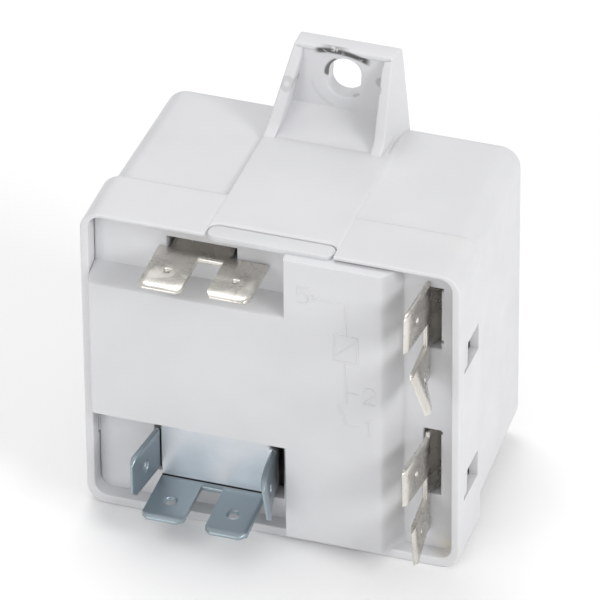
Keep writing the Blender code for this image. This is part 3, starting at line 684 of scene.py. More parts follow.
@dataclass
class CaseShell:
    """The cover: collar, box, raised band, latch windows and screw ear."""

    mouth_y: float = -13.3
    back_y: float = 21.9
    half: float = 28.2
    height: float = 50.8
    collar: float = 10.2
    rim: float = 1.3
    band: float = 9.6
    notch: float = 3.0
    notch_half: float = 9.5
    notch_round: float = 1.5
    soft: float = 0.35
    window_y: tuple[float, float] = (2.0, 8.7)
    window_z: tuple[tuple[float, float], ...] = ((11.0, 15.4), (33.2, 37.6))
    ear_top: float = 63.5
    ear_low_half: float = 9.5
    ear_high_half: float = 7.5
    ear_thick: float = 2.8
    ear_reach: float = 8.0
    ear_lean: float = 0.87
    slot_centre: float = 58.55
    slot_half: float = 2.45
    slot_straight: float = 0.8
    slot_shift: float = 0.27
    ramp_top: float = 53.25
    ramp_run: float = 6.4
    ramp_dip: float = 0.23
    side_draft: float = 0.17

    def profile(self) -> Array:
        """The wall's section, from the inside of the back, round the rim, to the outside.

        Returns:
            Rows of (y behind the rim, inset at the sides, at the top, at the bottom, radius).
        """
        depth = self.back_y - self.mouth_y
        step = self.collar
        chain = np.array([
            (depth - 2.0, 3.4, 2.6, 4.4, 1.6), (step + 0.2, 3.0, 2.6, 3.8, 2.0),
            (step - 0.6, self.rim, 0.5, 1.6, 2.0), (0.0, self.rim, 0.5, 1.6, 2.0),
            (0.0, 0.0, 0.0, 0.0, 3.0), (step, 0.0, 0.0, 0.0, 3.0),
            (step + 0.7, 0.9, 0.6, 1.8, 3.0), (depth, 1.6, 0.6, 2.5, 3.0),
            (depth, 4.6, 3.6, 5.5, 1.2),
        ])
        rows = softened(chain, (0, 0.2, 0.2, 0.22, 0.42, 0.35, 0.3, 1.3), 6)
        marks = np.array([*self.window_y, 1.2, 5.0, 12.5])
        out = [rows[:1]]
        for a, b in zip(rows, rows[1:]):
            inside = marks[(marks > min(a[0], b[0]) + 0.05) & (marks < max(a[0], b[0]) - 0.05)]
            share = np.sort((inside - a[0]) / (b[0] - a[0])) if inside.size else inside
            out.append(a + share[:, None] * (b - a))
            out.append(b[None])
        return np.vstack(out)

    def notch_depth(self, x: Array) -> Array:
        """How far the rim is cut back at x: level, with a quarter circle at each end."""
        r = self.notch_round
        over = np.clip(np.abs(x) - (self.notch_half - r), 0.0, r)
        depth = self.notch - r + np.sqrt(np.maximum(r * r - over * over, 0.0))
        return np.where(np.abs(x) < self.notch_half + 0.01, depth, 0.0)

    def box(self) -> Surface:
        """The collar and box: the wall's profile carried round a rounded rectangle.

        The band is a rise in z, and the notch slides the rim back over the band's width. The latch
        windows are left out of both skins and joined by jambs.

        Returns:
            The closed surface.
        """
        edges = [s * (self.band + d) for s in (-1, 1)
                 for d in (-self.soft, -0.15, 0.0, 0.15, self.soft)]
        bend = self.notch_half - self.notch_round
        arc = bend + self.notch_round * np.sin(np.linspace(0, QUARTER, 9))
        ends = [s * v for s in (-1, 1) for v in (*arc, self.notch_half + 0.04, 10.4)]
        across = np.unique(np.round([*edges, *ends, *np.linspace(-24, 24, 17)], 3))
        up = sorted({z for pair in self.window_z for z in pair} | {6.0, 20.0, 27.0, 44.0})
        outline = Outline.around(10, across, up)
        rows = self.profile()
        y, side, top, bottom, radius = rows.T
        x, z = outline.points((side - self.half, self.half - side),
                              (bottom, self.height - top), radius)
        upper = (outline.phi > 0.25 * math.pi) & (outline.phi < 0.75 * math.pi)
        outer = np.arange(len(y)) >= int(np.argmax(side < 0.01))
        deep = np.broadcast_to(y[:, None], x.shape)
        share = clamp(1.0 - deep / (self.collar - 1.2))
        cut = self.notch_depth(x) * upper * share
        rise = smoothstep(self.band + self.soft, self.band - self.soft, np.abs(x)) * upper
        rise = rise * outer[:, None] * (top[:, None] + 0.02) * smoothstep(
            self.back_y - self.mouth_y - 0.6, self.back_y - self.mouth_y - 2.0, deep)
        on_collar = outer[:, None] * upper * smoothstep(0.5, 1.5, deep) * (deep < self.collar + 0.8)
        seam = np.exp(-((np.abs(x) - self.band) / 0.22) ** 2) * 0.05 * on_collar
        points = np.stack([x, self.mouth_y + deep + cut, z + rise - seam], axis=-1)
        index = np.arange(x.size).reshape(x.shape)
        keep = np.ones((x.shape[0] - 1, x.shape[1]), bool)
        jambs = []
        skins = [[int(np.argmin(np.abs(y - depth) + FAR * ~skin)) for depth in self.window_y]
                 for skin in (outer, ~outer)]
        for pair in self.window_z:
            for way in (0.0, math.pi):
                columns = [int(np.argmin(np.abs(outline.qb - v) + 9 * np.abs(outline.phi - way)))
                           for v in pair]
                low, high = min(columns), max(columns)
                loops = []
                for a, b in skins:
                    r0, r1 = min(a, b), max(a, b)
                    keep[r0:r1, low:high] = False
                    u = np.arange(low, high + 1)
                    span = np.arange(a, b, 1 if b > a else -1)[1:]
                    loops.append(np.concatenate([index[a, u], index[span, high],
                                                 index[b, u[::-1]], index[span[::-1], low]]))
                front, rear = loops
                jambs.append(np.stack([front, np.roll(front, -1), np.roll(rear, -1), rear], -1))
        shell = Surface.tube(points)
        shell.quads = np.vstack([shell.quads[keep.ravel()], *jambs])
        return shell

    def ear_half(self, z: Array) -> Array:
        """Half the ear's width at a height: a straight taper."""
        foot = self.height - 0.6
        share = (z - foot) / (self.ear_top - foot)
        return self.ear_low_half + (self.ear_high_half - self.ear_low_half) * share

    def leaning(self, x: Array, z: Array) -> Array:
        """The ear leans a little to +X: x moves in step with the height above its foot."""
        return x + self.ear_lean * (z - self.height) / (self.ear_top - self.height)

    def ear_frame(self) -> Surface:
        """The ear's ribs and top edge: a soft rectangle carried up one side, over and down.

        Its front slopes forward towards the foot, and its width falls towards the top edge.

        Returns:
            The closed surface.
        """
        low, r = self.height - 1.6, 0.45
        half = self.ear_half(np.array([low]))[0]
        high = self.ear_high_half
        turn = np.linspace(0.0, QUARTER, 7)
        corner = np.stack([high - r + r * np.cos(turn), self.ear_top - r + r * np.sin(turn)], 1)
        share = np.linspace(0.0, 1.0, 20)[:-1, None] ** 1.7
        rise = np.array([[half, low]]) * (1 - share) + corner[:1] * share
        right = np.vstack([rise, corner, np.linspace(corner[-1], (0.0, self.ear_top), 5)[1:]])
        path = np.vstack([right, right[-2::-1] * (-1, 1)])
        tangent = tangents(path)
        inward = np.stack([-tangent[:, 1], tangent[:, 0]], axis=1)
        level = np.clip((self.ear_top - path[:, 1]) / (self.ear_top - self.height), 0.0, 1.1)
        front = self.back_y - self.ear_thick - 0.35 - (self.ear_reach - self.ear_thick) * level
        front = front - 1.1 * clamp((self.height + 1.5 - path[:, 1]) / 1.5) ** 2
        width = 0.85 + 0.7 * smoothstep(0.0, 0.06, level) + 0.15 * level
        outline = Outline.around(4)
        count = len(path)
        a, b = outline.points((np.zeros(count), width),
                              (front, np.full(count, self.back_y)), np.full(count, 0.28))
        z = path[:, 1:] + inward[:, 1:] * a
        x = self.leaning(path[:, :1] + inward[:, :1] * a, z)
        x = x + smoothstep(0.0, 5.0, x) * (0.4 - self.side_draft * (self.back_y - b))
        return Surface.tube(np.stack([x, b, z], axis=-1))

    def ear_plate(self) -> Surface:
        """The ear's plate: a ring between its slot and its edge, along rays from the slot's centre.

        A ray meets the slot at its straight sides or its end circles. Below the ramp's top the
        face runs forward, and down to the band with the square of what is left of the way.

        Returns:
            The closed surface.
        """
        low, inset = self.height - 1.4, 0.5
        right_z = low + (self.ear_top - inset - low) * np.linspace(0.01, 0.99, 19)
        right = np.stack([self.ear_half(right_z) - inset, right_z], axis=1)
        top = np.stack([np.linspace(right[-1, 0], -right[-1, 0], 25)[1:-1],
                        np.full(23, self.ear_top - inset)], axis=1)
        left = right[::-1] * (-1, 1)
        foot = np.stack([np.linspace(left[-1, 0], right[0, 0], 19)[1:-1], np.full(17, low)], axis=1)
        edge = np.vstack([right, top, left, foot])
        ray = edge - (0.0, self.slot_centre)
        unit = ray / np.linalg.norm(ray, axis=1, keepdims=True)
        s, r = self.slot_straight, self.slot_half
        dx, dz = np.abs(unit[:, 0]), np.abs(unit[:, 1])
        side = r / np.maximum(dx, 1e-6)
        end = s * dz + np.sqrt(np.maximum(r * r - s * s * dx * dx, 0.0))
        reach = np.where(side * dz <= s, side, end)[:, None]
        slot = unit * reach + (self.slot_shift, self.slot_centre)
        front, back = self.back_y - self.ear_thick, self.back_y - 0.03
        soft = 0.22
        start = slot + unit * soft
        rings = [(slot, back - soft)]
        rings += [(slot + unit * soft * (1 - math.cos(t)), front + soft * (1 - math.sin(t)))
                  for t in np.linspace(0.0, QUARTER, 5)]
        drop = (start[:, 1:] - self.ramp_top) / np.maximum(start[:, 1:] - edge[:, 1:], 1e-6)
        knee = np.where(edge[:, 1:] < self.ramp_top, clamp(drop), 1.0)
        shares = [knee * t for t in np.linspace(0.0, 1.0, 7)[1:]]
        shares += [knee + (1.0 - knee) * t for t in np.linspace(0.0, 1.0, 9)[1:]]
        rings += [(start + (edge - start) * share, front) for share in shares]
        rings += [(start + (edge - start) * share, back) for share in np.linspace(1.0, 0.0, 4)]
        grid = np.stack([np.column_stack([p[:, 0], np.full(len(p), y), p[:, 1]])
                         for p, y in rings])
        height = grid[..., 2]
        down = clamp((self.ramp_top - height) / (self.ramp_top - low))
        fore = (np.abs(grid[..., 1] - front) < 0.01) & (down > 0)
        foot = self.height - self.ramp_dip * down
        sunk = foot + (self.ramp_top - self.height) * (1.0 - down) ** 2
        grid[..., 1] -= np.where(fore, self.ramp_run * down, 0.0)
        grid[..., 2] = np.where(fore, sunk, height)
        grid[..., 0] = self.leaning(grid[..., 0], grid[..., 2])
        quads = grid_quads(len(rings) + 1, len(edge)) % (len(rings) * len(edge))
        return Surface(grid.reshape(-1, 3), quads)

    def build(self) -> None:
        """Make the shell and the ear as one piece in place of the CAD case."""
        shell = Surface.merged([self.box(), self.ear_frame(), self.ear_plate()])
        make_piece("case_shell", shell, Finishes.case_plastic, ("case",), crease=38.0)


# --- the moulded terminal base ---


@dataclass
class TerminalBase:
    """The front plate: plateau, column, terminal slots, latches, posts and raised marks."""

    mouth_y: float = -13.3
    floor: float = -10.9
    thick: float = 3.0
    face: float = -14.8
    half: float = 26.82
    low: float = 1.42
    high: float = 50.2
    plateau_low: float = 17.0
    plateau_high: float = 40.1
    column: tuple[float, float] = (2.6, 16.8)
    left_flank: float = 0.85
    right_flank: float = 2.3
    corner: float = 1.7
    latch_z: tuple[float, float] = (11.3, 33.5)
    latch_tall: float = 3.8
    spacing: float = 1.6
    lip: float = 0.15
    slots: tuple[tuple[float, float, float, float], ...] = (
        (-16.0, -5.5, 44.6, 47.5), (22.1, 24.65, 36.5, 46.9), (22.1, 24.65, 11.0, 22.3),
        (-18.4, -16.9, 6.1, 14.5), (-0.65, 1.1, 5.0, 14.5),
        (24.6, 24.95, 46.4, 46.9), (24.6, 24.95, 37.5, 38.0), (24.6, 24.9, 21.6, 22.1))
    slot_ears: float = 0.35

    def height(self, x: Array, z: Array) -> Array:
        """How far the face stands ahead of the floor: the larger of plateau and column.

        The plateau's upper flank falls to the floor; the column falls steeply on its left and in a
        wide slope on its right.

        Args:
            x: places across.
            z: places up.

        Returns:
            The heights.
        """
        full = self.floor - self.face
        plateau = full * smoothstep(self.plateau_low - 0.12, self.plateau_low + 0.12, z)
        t = clamp((self.plateau_high + 1.25 - z) / 1.5)
        plateau = np.minimum(plateau, full * (1 - (1 - t) ** 1.3))
        plateau = plateau * smoothstep(self.column[0] + 3.4, self.column[0] + 3.0, x)
        plateau = np.minimum(plateau, full - 0.5 * smoothstep(self.half - 0.5, self.half, -x))
        left, right = self.column
        rise = clamp((x - left + self.left_flank) / self.left_flank)
        fall = clamp((right + self.right_flank - x) / self.right_flank)
        column = full * np.minimum(rise, 1 - (1 - fall) ** 1.5)
        ends = smoothstep(self.low - 0.1, self.low + 0.2, z) * smoothstep(
            self.high + 0.1, self.high - 0.45, z)
        return np.maximum(plateau, column * ends)

    def plate(self) -> Surface:
        """The plate with its slots cut through, a soft edge round each slot and the rim."""
        left, right = self.column
        ear, lip = self.slot_ears, self.lip
        a_marks = [-self.half, -self.half + 0.2, -self.half + 0.5, self.half - 0.2, self.half,
                   *np.linspace(left - self.left_flank - 0.1, left + 0.1, 9),
                   *np.linspace(right, right + self.right_flank + 0.1, 13), left + 3.0, left + 3.4]
        b_marks = [self.low, self.low + 0.2, self.high - 0.2, self.high, self.low + 0.3,
                   self.low + 0.6, self.high - 0.45, self.high - 0.3, self.high - 0.1,
                   *(self.plateau_low + np.linspace(-0.14, 0.14, 5)),
                   *(self.plateau_high + np.linspace(-0.3, 1.3, 13))]
        for x0, x1, z0, z1 in self.slots:
            a_marks += [x0 - lip, x0, x0 + ear, x1 - ear, x1, x1 + lip]
            b_marks += [z0 - lip, z0, z0 + ear, z1 - ear, z1, z1 + lip]
        a, b = stops(a_marks, self.spacing), stops(b_marks, self.spacing)
        middles = cell_middles(a, b)
        filled = ~np.any([within(slot, *middles) for slot in self.slots], axis=0)
        ga, gb = np.meshgrid(a, b, indexing="ij")
        front = self.floor - self.height(ga, gb) + 0.14 * on_border(filled)
        back = np.full(ga.shape, self.floor + self.thick)

        def place(x: Array, z: Array, y: Array) -> Array:
            """Stand the grid upright, its corners rounded by the case's inner radius."""
            r, middle = self.corner, (self.low + self.high) / 2
            over_x = clamp((np.abs(x) - self.half) / r + 1)
            over_z = clamp((np.abs(z - middle) - (self.high - middle)) / r + 1)
            pull = (1 - np.sqrt(1 - 0.5 * np.minimum(over_x, over_z) ** 2)) * r
            return np.stack([x - np.sign(x) * pull, y, z - np.sign(z - middle) * pull], axis=-1)

        return pierced_plate(a, b, filled, front, back, place)

    def tongue(self) -> Surface:
        """The tongue that fills the notch in the cover's rim."""
        return soft_block(Axis.Z, (-9.4, self.mouth_y + 0.02, 49.75), (9.4, -10.42, 50.6), 0.12,
                          1.35)

    def latch(self, side: int, z: float) -> Surface:
        """One latch: a ramp that rises towards the front, carried through sections along X."""
        x, y = self.half, self.mouth_y
        top, r = z + self.latch_tall, 0.1
        rows = np.array([
            (x - 1.4, self.floor + self.thick + 0.2, y + 8.4, z, top, r),
            (x - 0.05, y + 2.2, y + 8.3, z, top, r), (x + 0.2, y + 2.2, y + 7.6, z, top, r),
            (x + 1.1, y + 2.2, y + 4.3, z, top, r),
            (x + 1.25, y + 2.35, y + 3.8, z + 0.12, top - 0.12, r),
        ])
        made = sections(Outline.around(3), Axis.X, rows)
        return made if side > 0 else made.mirrored_x()

    def posts(self) -> list[Surface]:
        """The two posts behind the plate that the magnet frame is screwed to."""
        rear = self.floor + self.thick
        return [soft_block(Axis.Y, (x - 2.6, rear - 0.4, 5.4), (x + 2.6, -3.9, 11.4), 0.3, 0.8)
                for x in (-14.0, -5.0)]

    def build(self) -> None:
        """Make the base as one piece, and its marks as another."""
        latches = [self.latch(side, z) for side in (-1, 1) for z in self.latch_z]
        base = Surface.merged([self.plate(), self.tongue(), *latches, *self.posts()])
        make_piece("base_moulding", base, Finishes.base_plastic, ("terminal_base",), crease=34.0)
        Marks(self.face).build()


@dataclass
class Marks:
    """The raised wiring marks on the column: terminal numbers and a coil with its contact."""

    face: float
    width: float = 0.17
    rise: float = 0.09

    @staticmethod
    def arc(x: float, z: float, radius: float, start: float, end: float, count: int = 14) -> Array:
        """Points on a circle's arc, in degrees anticlockwise from +X."""
        t = np.radians(np.linspace(start, end, count))
        return np.stack([x + radius * np.cos(t), z + radius * np.sin(t)], axis=1)

    @staticmethod
    def straight(*corners: tuple[float, float]) -> Array:
        """Points along straight legs, close together so that corners stay crisp."""
        legs = [np.linspace(a, b, 8)[:-1] for a, b in zip(corners, corners[1:])]
        return np.vstack([*legs, np.array([corners[-1]])])

    def numbers(self) -> list[Array]:
        """The paths of the figures 5, 2 and 1, each about 2.8 mm tall."""
        x5, z5 = 5.5, 43.0
        five = np.vstack([self.straight((x5 + 0.8, z5 + 2.8), (x5 - 0.7, z5 + 2.8),
                                        (x5 - 0.8, z5 + 1.55)),
                          self.arc(x5 - 0.05, z5 + 0.95, 0.95, 140, -140)])
        x2, z2 = 15.2, 27.5
        two = np.vstack([self.arc(x2, z2 + 2.0, 0.8, 165, -35),
                         self.straight((x2 - 0.8, z2), (x2 + 0.9, z2))])
        one = self.straight((x2 - 0.5, 24.2), (x2 + 0.1, 24.8), (x2 + 0.1, 22.0))
        return [five, two, one]

    def circuit(self) -> list[Array]:
        """The coil's box with its stroke, its two leads, and the contact between 1 and 2."""
        x, low, high, top, end = 11.8, 34.2, 38.6, 44.2, 13.6
        left, right = x - 1.7, x + 1.7
        legs = (((left, low), (right, low), (right, high), (left, high), (left, low)),
                ((left, low + 0.6), (right, high - 0.6)), ((7.4, top), (x, top), (x, high)),
                ((x, low), (x, 28.9), (end, 28.9)), ((x, 28.9), (x, 27.2)),
                ((x - 1.1, 26.6), (x, 23.3), (end, 23.3)))
        return [*(self.straight(*leg) for leg in legs), self.arc(6.8, top, 0.45, 0, 360, 18)]

    def build(self) -> None:
        """Carry a low bead along every path."""
        beads = [bead(path, self.face + 0.01, self.width, self.rise)
                 for path in (*self.numbers(), *self.circuit())]
        make_piece("base_marks", Surface.merged(beads), Finishes.base_plastic, crease=60.0)


# --- the terminals ---


@dataclass(frozen=True)
class Tip:
    """A tab's tip: its width shrinks over the last stretch, which cuts both corners off."""

    centre: float
    half: float
    start: float
    end: float
    cut: float
    thin: float

    def share(self, a: Array, b: Array) -> Array:
        """How far along the tip each point is, from 0 to 1, and 0 off the tab."""
        near = np.abs(a - self.centre) < self.half + 0.05
        return clamp((b - self.start) / (self.end - self.start)) * near

    def warp(self, a: Array, b: Array) -> Array:
        """The new a of every point, scaled towards the tab's middle past the start."""
        return self.centre + (a - self.centre) * (1 - self.share(a, b) * self.cut / self.half)

    def thinning(self, a: Array, b: Array) -> Array:
        """The strip's thickness near the tip as a share of its own: the lead-in bevel."""
        return 1.0 - self.thin * self.share(a, b)


@dataclass(frozen=True)
class Hole:
    """A round hole or a dished dimple, made from a square block of cells."""

    a: float
    b: float
    radius: float
    dish: float = 0.0

    def marks(self) -> tuple[list[float], list[float]]:
        """Grid lines through the hole's square and round it."""
        side = [0.25, 0.6, 1.0, 1.15, 1.35, 1.6, 1.9, 2.2]
        steps = [-s for s in side] + [0.0] + side
        return tuple([middle + s * self.radius for s in steps] for middle in (self.a, self.b))

    def square(self, a: Array, b: Array) -> Array:
        """Half the side of the centred square that passes through each place."""
        return np.maximum(np.abs(a - self.a), np.abs(b - self.b))

    def warp(self, a: Array, b: Array) -> tuple[Array, Array]:
        """Squares round the centre become circles at the hole's edge, fading out to squares."""
        da, db = a - self.a, b - self.b
        square = self.square(a, b)
        circle = np.maximum(np.hypot(da, db), 1e-9)
        fade = smoothstep(2.2 * self.radius, self.radius, square)
        factor = 1 + fade * (square / circle - 1)
        return self.a + da * factor, self.b + db * factor

    def sink(self, a: Array, b: Array) -> Array:
        """How far the front skin sinks round the hole."""
        return self.dish * smoothstep(2.0 * self.radius, self.radius, self.square(a, b))


@dataclass
class StripPattern:
    """A flat pattern stamped from strip, then folded by a placing function.

    cells holds (a low, a high, b low, b high) rectangles of material.
    """

    cells: Sequence[tuple[float, float, float, float]]
    tips: Sequence[Tip]
    holes: Sequence[Hole]
    thick: float = 0.8
    edge: float = 0.13
    spacing: float = 0.9
    a_extra: Sequence[float] = ()
    b_extra: Sequence[float] = ()

    def surface(self, place: Placing) -> Surface:
        """Cut the pattern out of a grid, round its edges and fold it.

        Args:
            place: turns grids of (a, b, height above the strip's middle) into points.

        Returns:
            The closed surface.
        """
        e = self.edge
        a_marks, b_marks = list(self.a_extra), list(self.b_extra)
        for a0, a1, b0, b1 in self.cells:
            a_marks += [a0, a0 + e, a1 - e, a1]
            b_marks += [b0, b0 + e, b1 - e, b1]
        for tip in self.tips:
            way = math.copysign(1.0, tip.end - tip.start)
            b_marks += [tip.start, tip.end - way * e]
        for hole in self.holes:
            marks = hole.marks()
            a_marks, b_marks = a_marks + marks[0], b_marks + marks[1]
        a, b = stops(a_marks, self.spacing), stops(b_marks, self.spacing)
        middles = cell_middles(a, b)
        filled = np.any([within(cell, *middles) for cell in self.cells], axis=0)
        for hole in self.holes:
            filled &= hole.square(*middles) >= hole.radius
        ga, gb = np.meshgrid(a, b, indexing="ij")
        lift = np.full(ga.shape, self.thick / 2)
        for tip in self.tips:
            lift *= tip.thinning(ga, gb)
        lift -= e * on_border(filled)
        sunk = sum(hole.sink(ga, gb) for hole in self.holes)
        front, back = lift - sunk, -lift - 0.9 * sunk

        def shaped(x: Array, y: Array, h: Array) -> Array:
            """Warp the flat pattern at its holes and tips, then fold it."""
            for hole in self.holes:
                x, y = hole.warp(x, y)
            for tip in self.tips:
                x = tip.warp(x, y)
            return place(x, y, h)

        return pierced_plate(a, b, filled, front, back, shaped)


def bent_line(s: Array, legs: Sequence[tuple[float, float]], radius: float
              ) -> tuple[Array, Array, Array]:
    """A line of straight legs with round quarter turns between them, by distance along it.

    Args:
        s: distances from the start; before the start the first leg goes on straight.
        legs: (length, turn after it in degrees), the first leg pointing along +1 of the first
            coordinate.
        radius: the turns' radius at the middle of the strip.

    Returns:
        The two coordinates, and the heading in radians, of every distance.
    """
    u, v, heading = s.astype(float).copy(), np.zeros_like(s, float), np.zeros_like(s, float)
    at, place, angle = 0.0, np.zeros(2), 0.0
    for i, (length, turn) in enumerate(legs):
        forward = np.array([math.cos(angle), math.sin(angle)])
        here = (s >= at) if i else np.ones_like(s, bool)
        along = np.where(here, s - at, 0.0)
        u = np.where(here, place[0] + forward[0] * along, u)
        v = np.where(here, place[1] + forward[1] * along, v)
        heading = np.where(here, angle, heading)
        at, place = at + length, place + forward * length
        if not turn:
            continue
        sweep = math.radians(turn)
        sign = math.copysign(1.0, sweep)
        centre = place + radius * sign * np.array([-forward[1], forward[0]])
        span = abs(sweep) * radius
        bend = s >= at
        theta = np.where(bend, angle + sign * np.clip(s - at, 0.0, span) / radius, 0.0)
        u = np.where(bend, centre[0] + radius * sign * np.sin(theta), u)
        v = np.where(bend, centre[1] - radius * sign * np.cos(theta), v)
        heading = np.where(bend, theta, heading)
        at, angle = at + span, angle + sweep
        place = centre + radius * sign * np.array([math.sin(angle), -math.cos(angle)])
    return u, v, heading


@dataclass
class TwinTab:
    """The front of a terminal: two push-on tabs side by side, joined by a bar."""

    centre: float
    rear: float
    root: float
    tip: float
    pitch: float = 10.1
    width: float = 6.35
    hole: float = 0.28
    dish: float = 0.22
    hole_back: float = 4.2

    def middles(self) -> list[float]:
        """The middles of both tabs."""
        return [self.centre - self.pitch / 2, self.centre + self.pitch / 2]

    def cells(self) -> list[tuple[float, float, float, float]]:
        """Rectangles of the tabs and the bar, in (across, towards the rear)."""
        half = self.width / 2
        tabs = [(m - half, m + half, self.tip, self.rear) for m in self.middles()]
        bar = (tabs[0][1] - 0.01, tabs[1][0] + 0.01, self.root, self.rear)
        return [*tabs, bar]

    def tips(self, cut: float, thin: float) -> list[Tip]:
        """Both tips, with the corners' cut and the bevel's depth."""
        return [Tip(m, self.width / 2, self.tip + 1.0, self.tip, cut, thin)
                for m in self.middles()]

    def holes(self) -> list[Hole]:
        """Both locking holes or dimples."""
        return [Hole(m, self.tip + self.hole_back, self.hole, self.dish) for m in self.middles()]


@dataclass
class Terminals:
    """The three tinned terminals and the four-way zinc bracket."""

    floor: float = -10.9
    back: float = -11.2

    def terminal_5(self) -> Surface:
        """Level tabs under the top edge, and a stem that goes in through the slot."""
        tab = TwinTab(-8.9, self.back, -12.6, -20.7)
        stem = (-15.3, -6.3, self.back - 0.2, self.floor + 9.0)
        pattern = StripPattern([*tab.cells(), stem], tab.tips(0.7, 0.5), tab.holes())

        def place(x: Array, y: Array, h: Array) -> Array:
            """Level, with the left tab bent down a little and the stem arched in its slot."""
            lean = np.minimum(y - tab.root, 0.0) * np.where(x < tab.centre, 0.05, 0.005)
            lean = lean + 1.25 * np.sin(np.pi * clamp((y - self.floor) / 6.5)) ** 2
            lean = lean - 0.6 * smoothstep(-5.0, -3.6, y)
            return np.stack([x, y, 45.5 + h + lean], axis=-1)

        return pattern.surface(place)

    def side(self, centre: float, stem: tuple[float, float], foot_x: float,
             foot: tuple[float, float], lean: tuple[float, float],
             bend: tuple[float, float], neck: tuple[float, float]) -> Surface:
        """An upright terminal: tabs, a stem along +Y, an arm across to -X and a foot along +Y.

        Args:
            centre: the pair's middle height.
            stem: the stem's lowest and highest z.
            foot_x: the foot's lowest x.
            foot: the foot's lowest and highest z.
            lean: the upper and lower tabs' twist in degrees at their tips.
            bend: how far the upper and lower tabs' tips stand to +X.
            neck: the lowest and highest z of the wide neck that fills the slot.

        Returns:
            The closed surface.
        """
        tab = TwinTab(centre, self.back, self.floor - 1.9, -20.8)
        arm_y, radius, blade, half, rise = -2.1, 0.6, 22.8, 0.4, 1.25
        first = arm_y - radius - tab.tip
        second = blade - (foot_x + half) - 2 * radius
        quarter = QUARTER * radius
        bends = tab.tip + first, tab.tip + first + quarter + second
        end = bends[1] + quarter + 10.4
        cells = [*tab.cells(), (*neck, self.back - 0.2, self.floor + 3.2),
                 (*stem, self.back - 0.2, bends[1] + 0.3),
                 (*foot, bends[1] + 0.2, end)]
        fine = [at + quarter * k / 6 for at in bends for k in range(7)]
        pattern = StripPattern(cells, tab.tips(0.35, 0.7), tab.holes(), thick=0.68, b_extra=fine)

        def place(z: Array, s: Array, h: Array) -> Array:
            """Fold the strip, and twist each tab about its own root."""
            u, v, heading = bent_line(s - tab.tip,
                                      ((first, 90.0), (second, -90.0), (20.0, 0.0)), radius)
            x = blade - v + h * np.cos(heading)
            y = tab.tip + u + h * np.sin(heading)
            x = x + rise * np.sin(np.pi * clamp((s - self.back) / 7.4)) ** 2
            share = clamp((tab.root - s) / 8.0)
            upper = z > centre
            turn = np.radians(np.where(upper, *lean)) * np.minimum(share * 1.35, 1.0)
            pivot = centre + np.where(upper, 1.9, -1.0)
            off = (pivot - z) * np.tan(turn) + np.where(upper, *bend) * share
            return np.stack([x + off, y, z], axis=-1)

        return pattern.surface(place)

    def bracket(self) -> Surface:
        """The four-way bracket, folded from one cross-shaped blank.

        Its sides turn forward into the upright tabs, and its lower edge turns forward into the
        shelf that carries the two level tabs.

        Returns:
            The closed surface.
        """
        left, right, plate_y = -18.0, 0.45, -11.6
        shelf_z, radius, wing_low, wing_high = 5.9, 0.5, 7.6, 14.3
        half, hole, hole_z, bevel = 0.4, 0.83, 10.8, 1.0
        quarter = QUARTER * radius
        wing = 20.7 + plate_y - radius
        shelf = 21.9 + plate_y - radius
        flat_left, flat_right = left + half + radius, right - half - radius
        fold_z = shelf_z + radius
        a0, a1 = flat_left - quarter - wing, flat_right + quarter + wing
        b0 = fold_z - quarter - shelf
        tab = TwinTab(-9.1, fold_z, b0 + 8.8, b0, pitch=9.5, hole=hole, dish=0.0, hole_back=4.3)
        tabs = [(max(c[0], flat_left), min(c[1], flat_right + 0.3), c[2], c[3] + 0.1)
                for c in tab.cells()]
        cells = [*tabs, (flat_left + 0.1, flat_right - 0.1, fold_z - 0.1, 16.6),
                 (a0, a1, wing_low, wing_high)]
        holes = tab.holes() + [Hole(a, hole_z, hole) for a in (a0 + 4.0, a1 - 4.0)]
        fine = quarter * np.arange(7) / 6
        extra_a = [*(flat_left - fine), *(flat_right + fine), a0 + bevel, a1 - bevel]
        pattern = StripPattern(cells, tab.tips(1.0, 0.3), holes, a_extra=extra_a,
                               b_extra=fold_z - fine)
        fold = ((0.0, 90.0), (40.0, 0.0))

        def place(a: Array, b: Array, h: Array) -> Array:
            """Fold the wings by distance across, or the shelf by distance below the fold."""
            out = np.maximum(a - flat_right, flat_left - a)
            end = clamp((out - (quarter + wing - bevel)) / bevel)
            upright = b + (hole_z - b) * end * 0.85 / 3.2 * (out > 0)
            u, v, turn = bent_line(np.maximum(out, 0.0), fold, radius)
            side = np.sign(a - (flat_left + flat_right) / 2)
            mid = np.where(out > 0, np.where(side > 0, flat_right, flat_left) + side * u, a)
            x_wing = mid + side * np.sin(turn) * h * (1.0 - 0.5 * end)
            y_wing = plate_y - v - h * np.cos(turn)
            far = clamp((out - quarter) / 8.0)
            x_wing = x_wing - far * (side < 0)
            far = far * (side > 0)
            x_wing = x_wing + (wing_high - upright) * far * math.tan(math.radians(7.5)) + far * far
            p, q, dip = bent_line(np.maximum(fold_z - b, 0.0), fold, radius)
            z_shelf = fold_z - p + np.sin(dip) * h
            y_shelf = plate_y - q - h * np.cos(dip)
            bowed = np.where(a > tab.centre, 0.95, 0.3) * clamp((q - 1.5) / 9.0)
            below = b < fold_z
            return np.stack([np.where(below, a, x_wing), np.where(below, y_shelf, y_wing),
                             np.where(below, z_shelf - bowed, upright)], axis=-1)

        return pattern.surface(place)

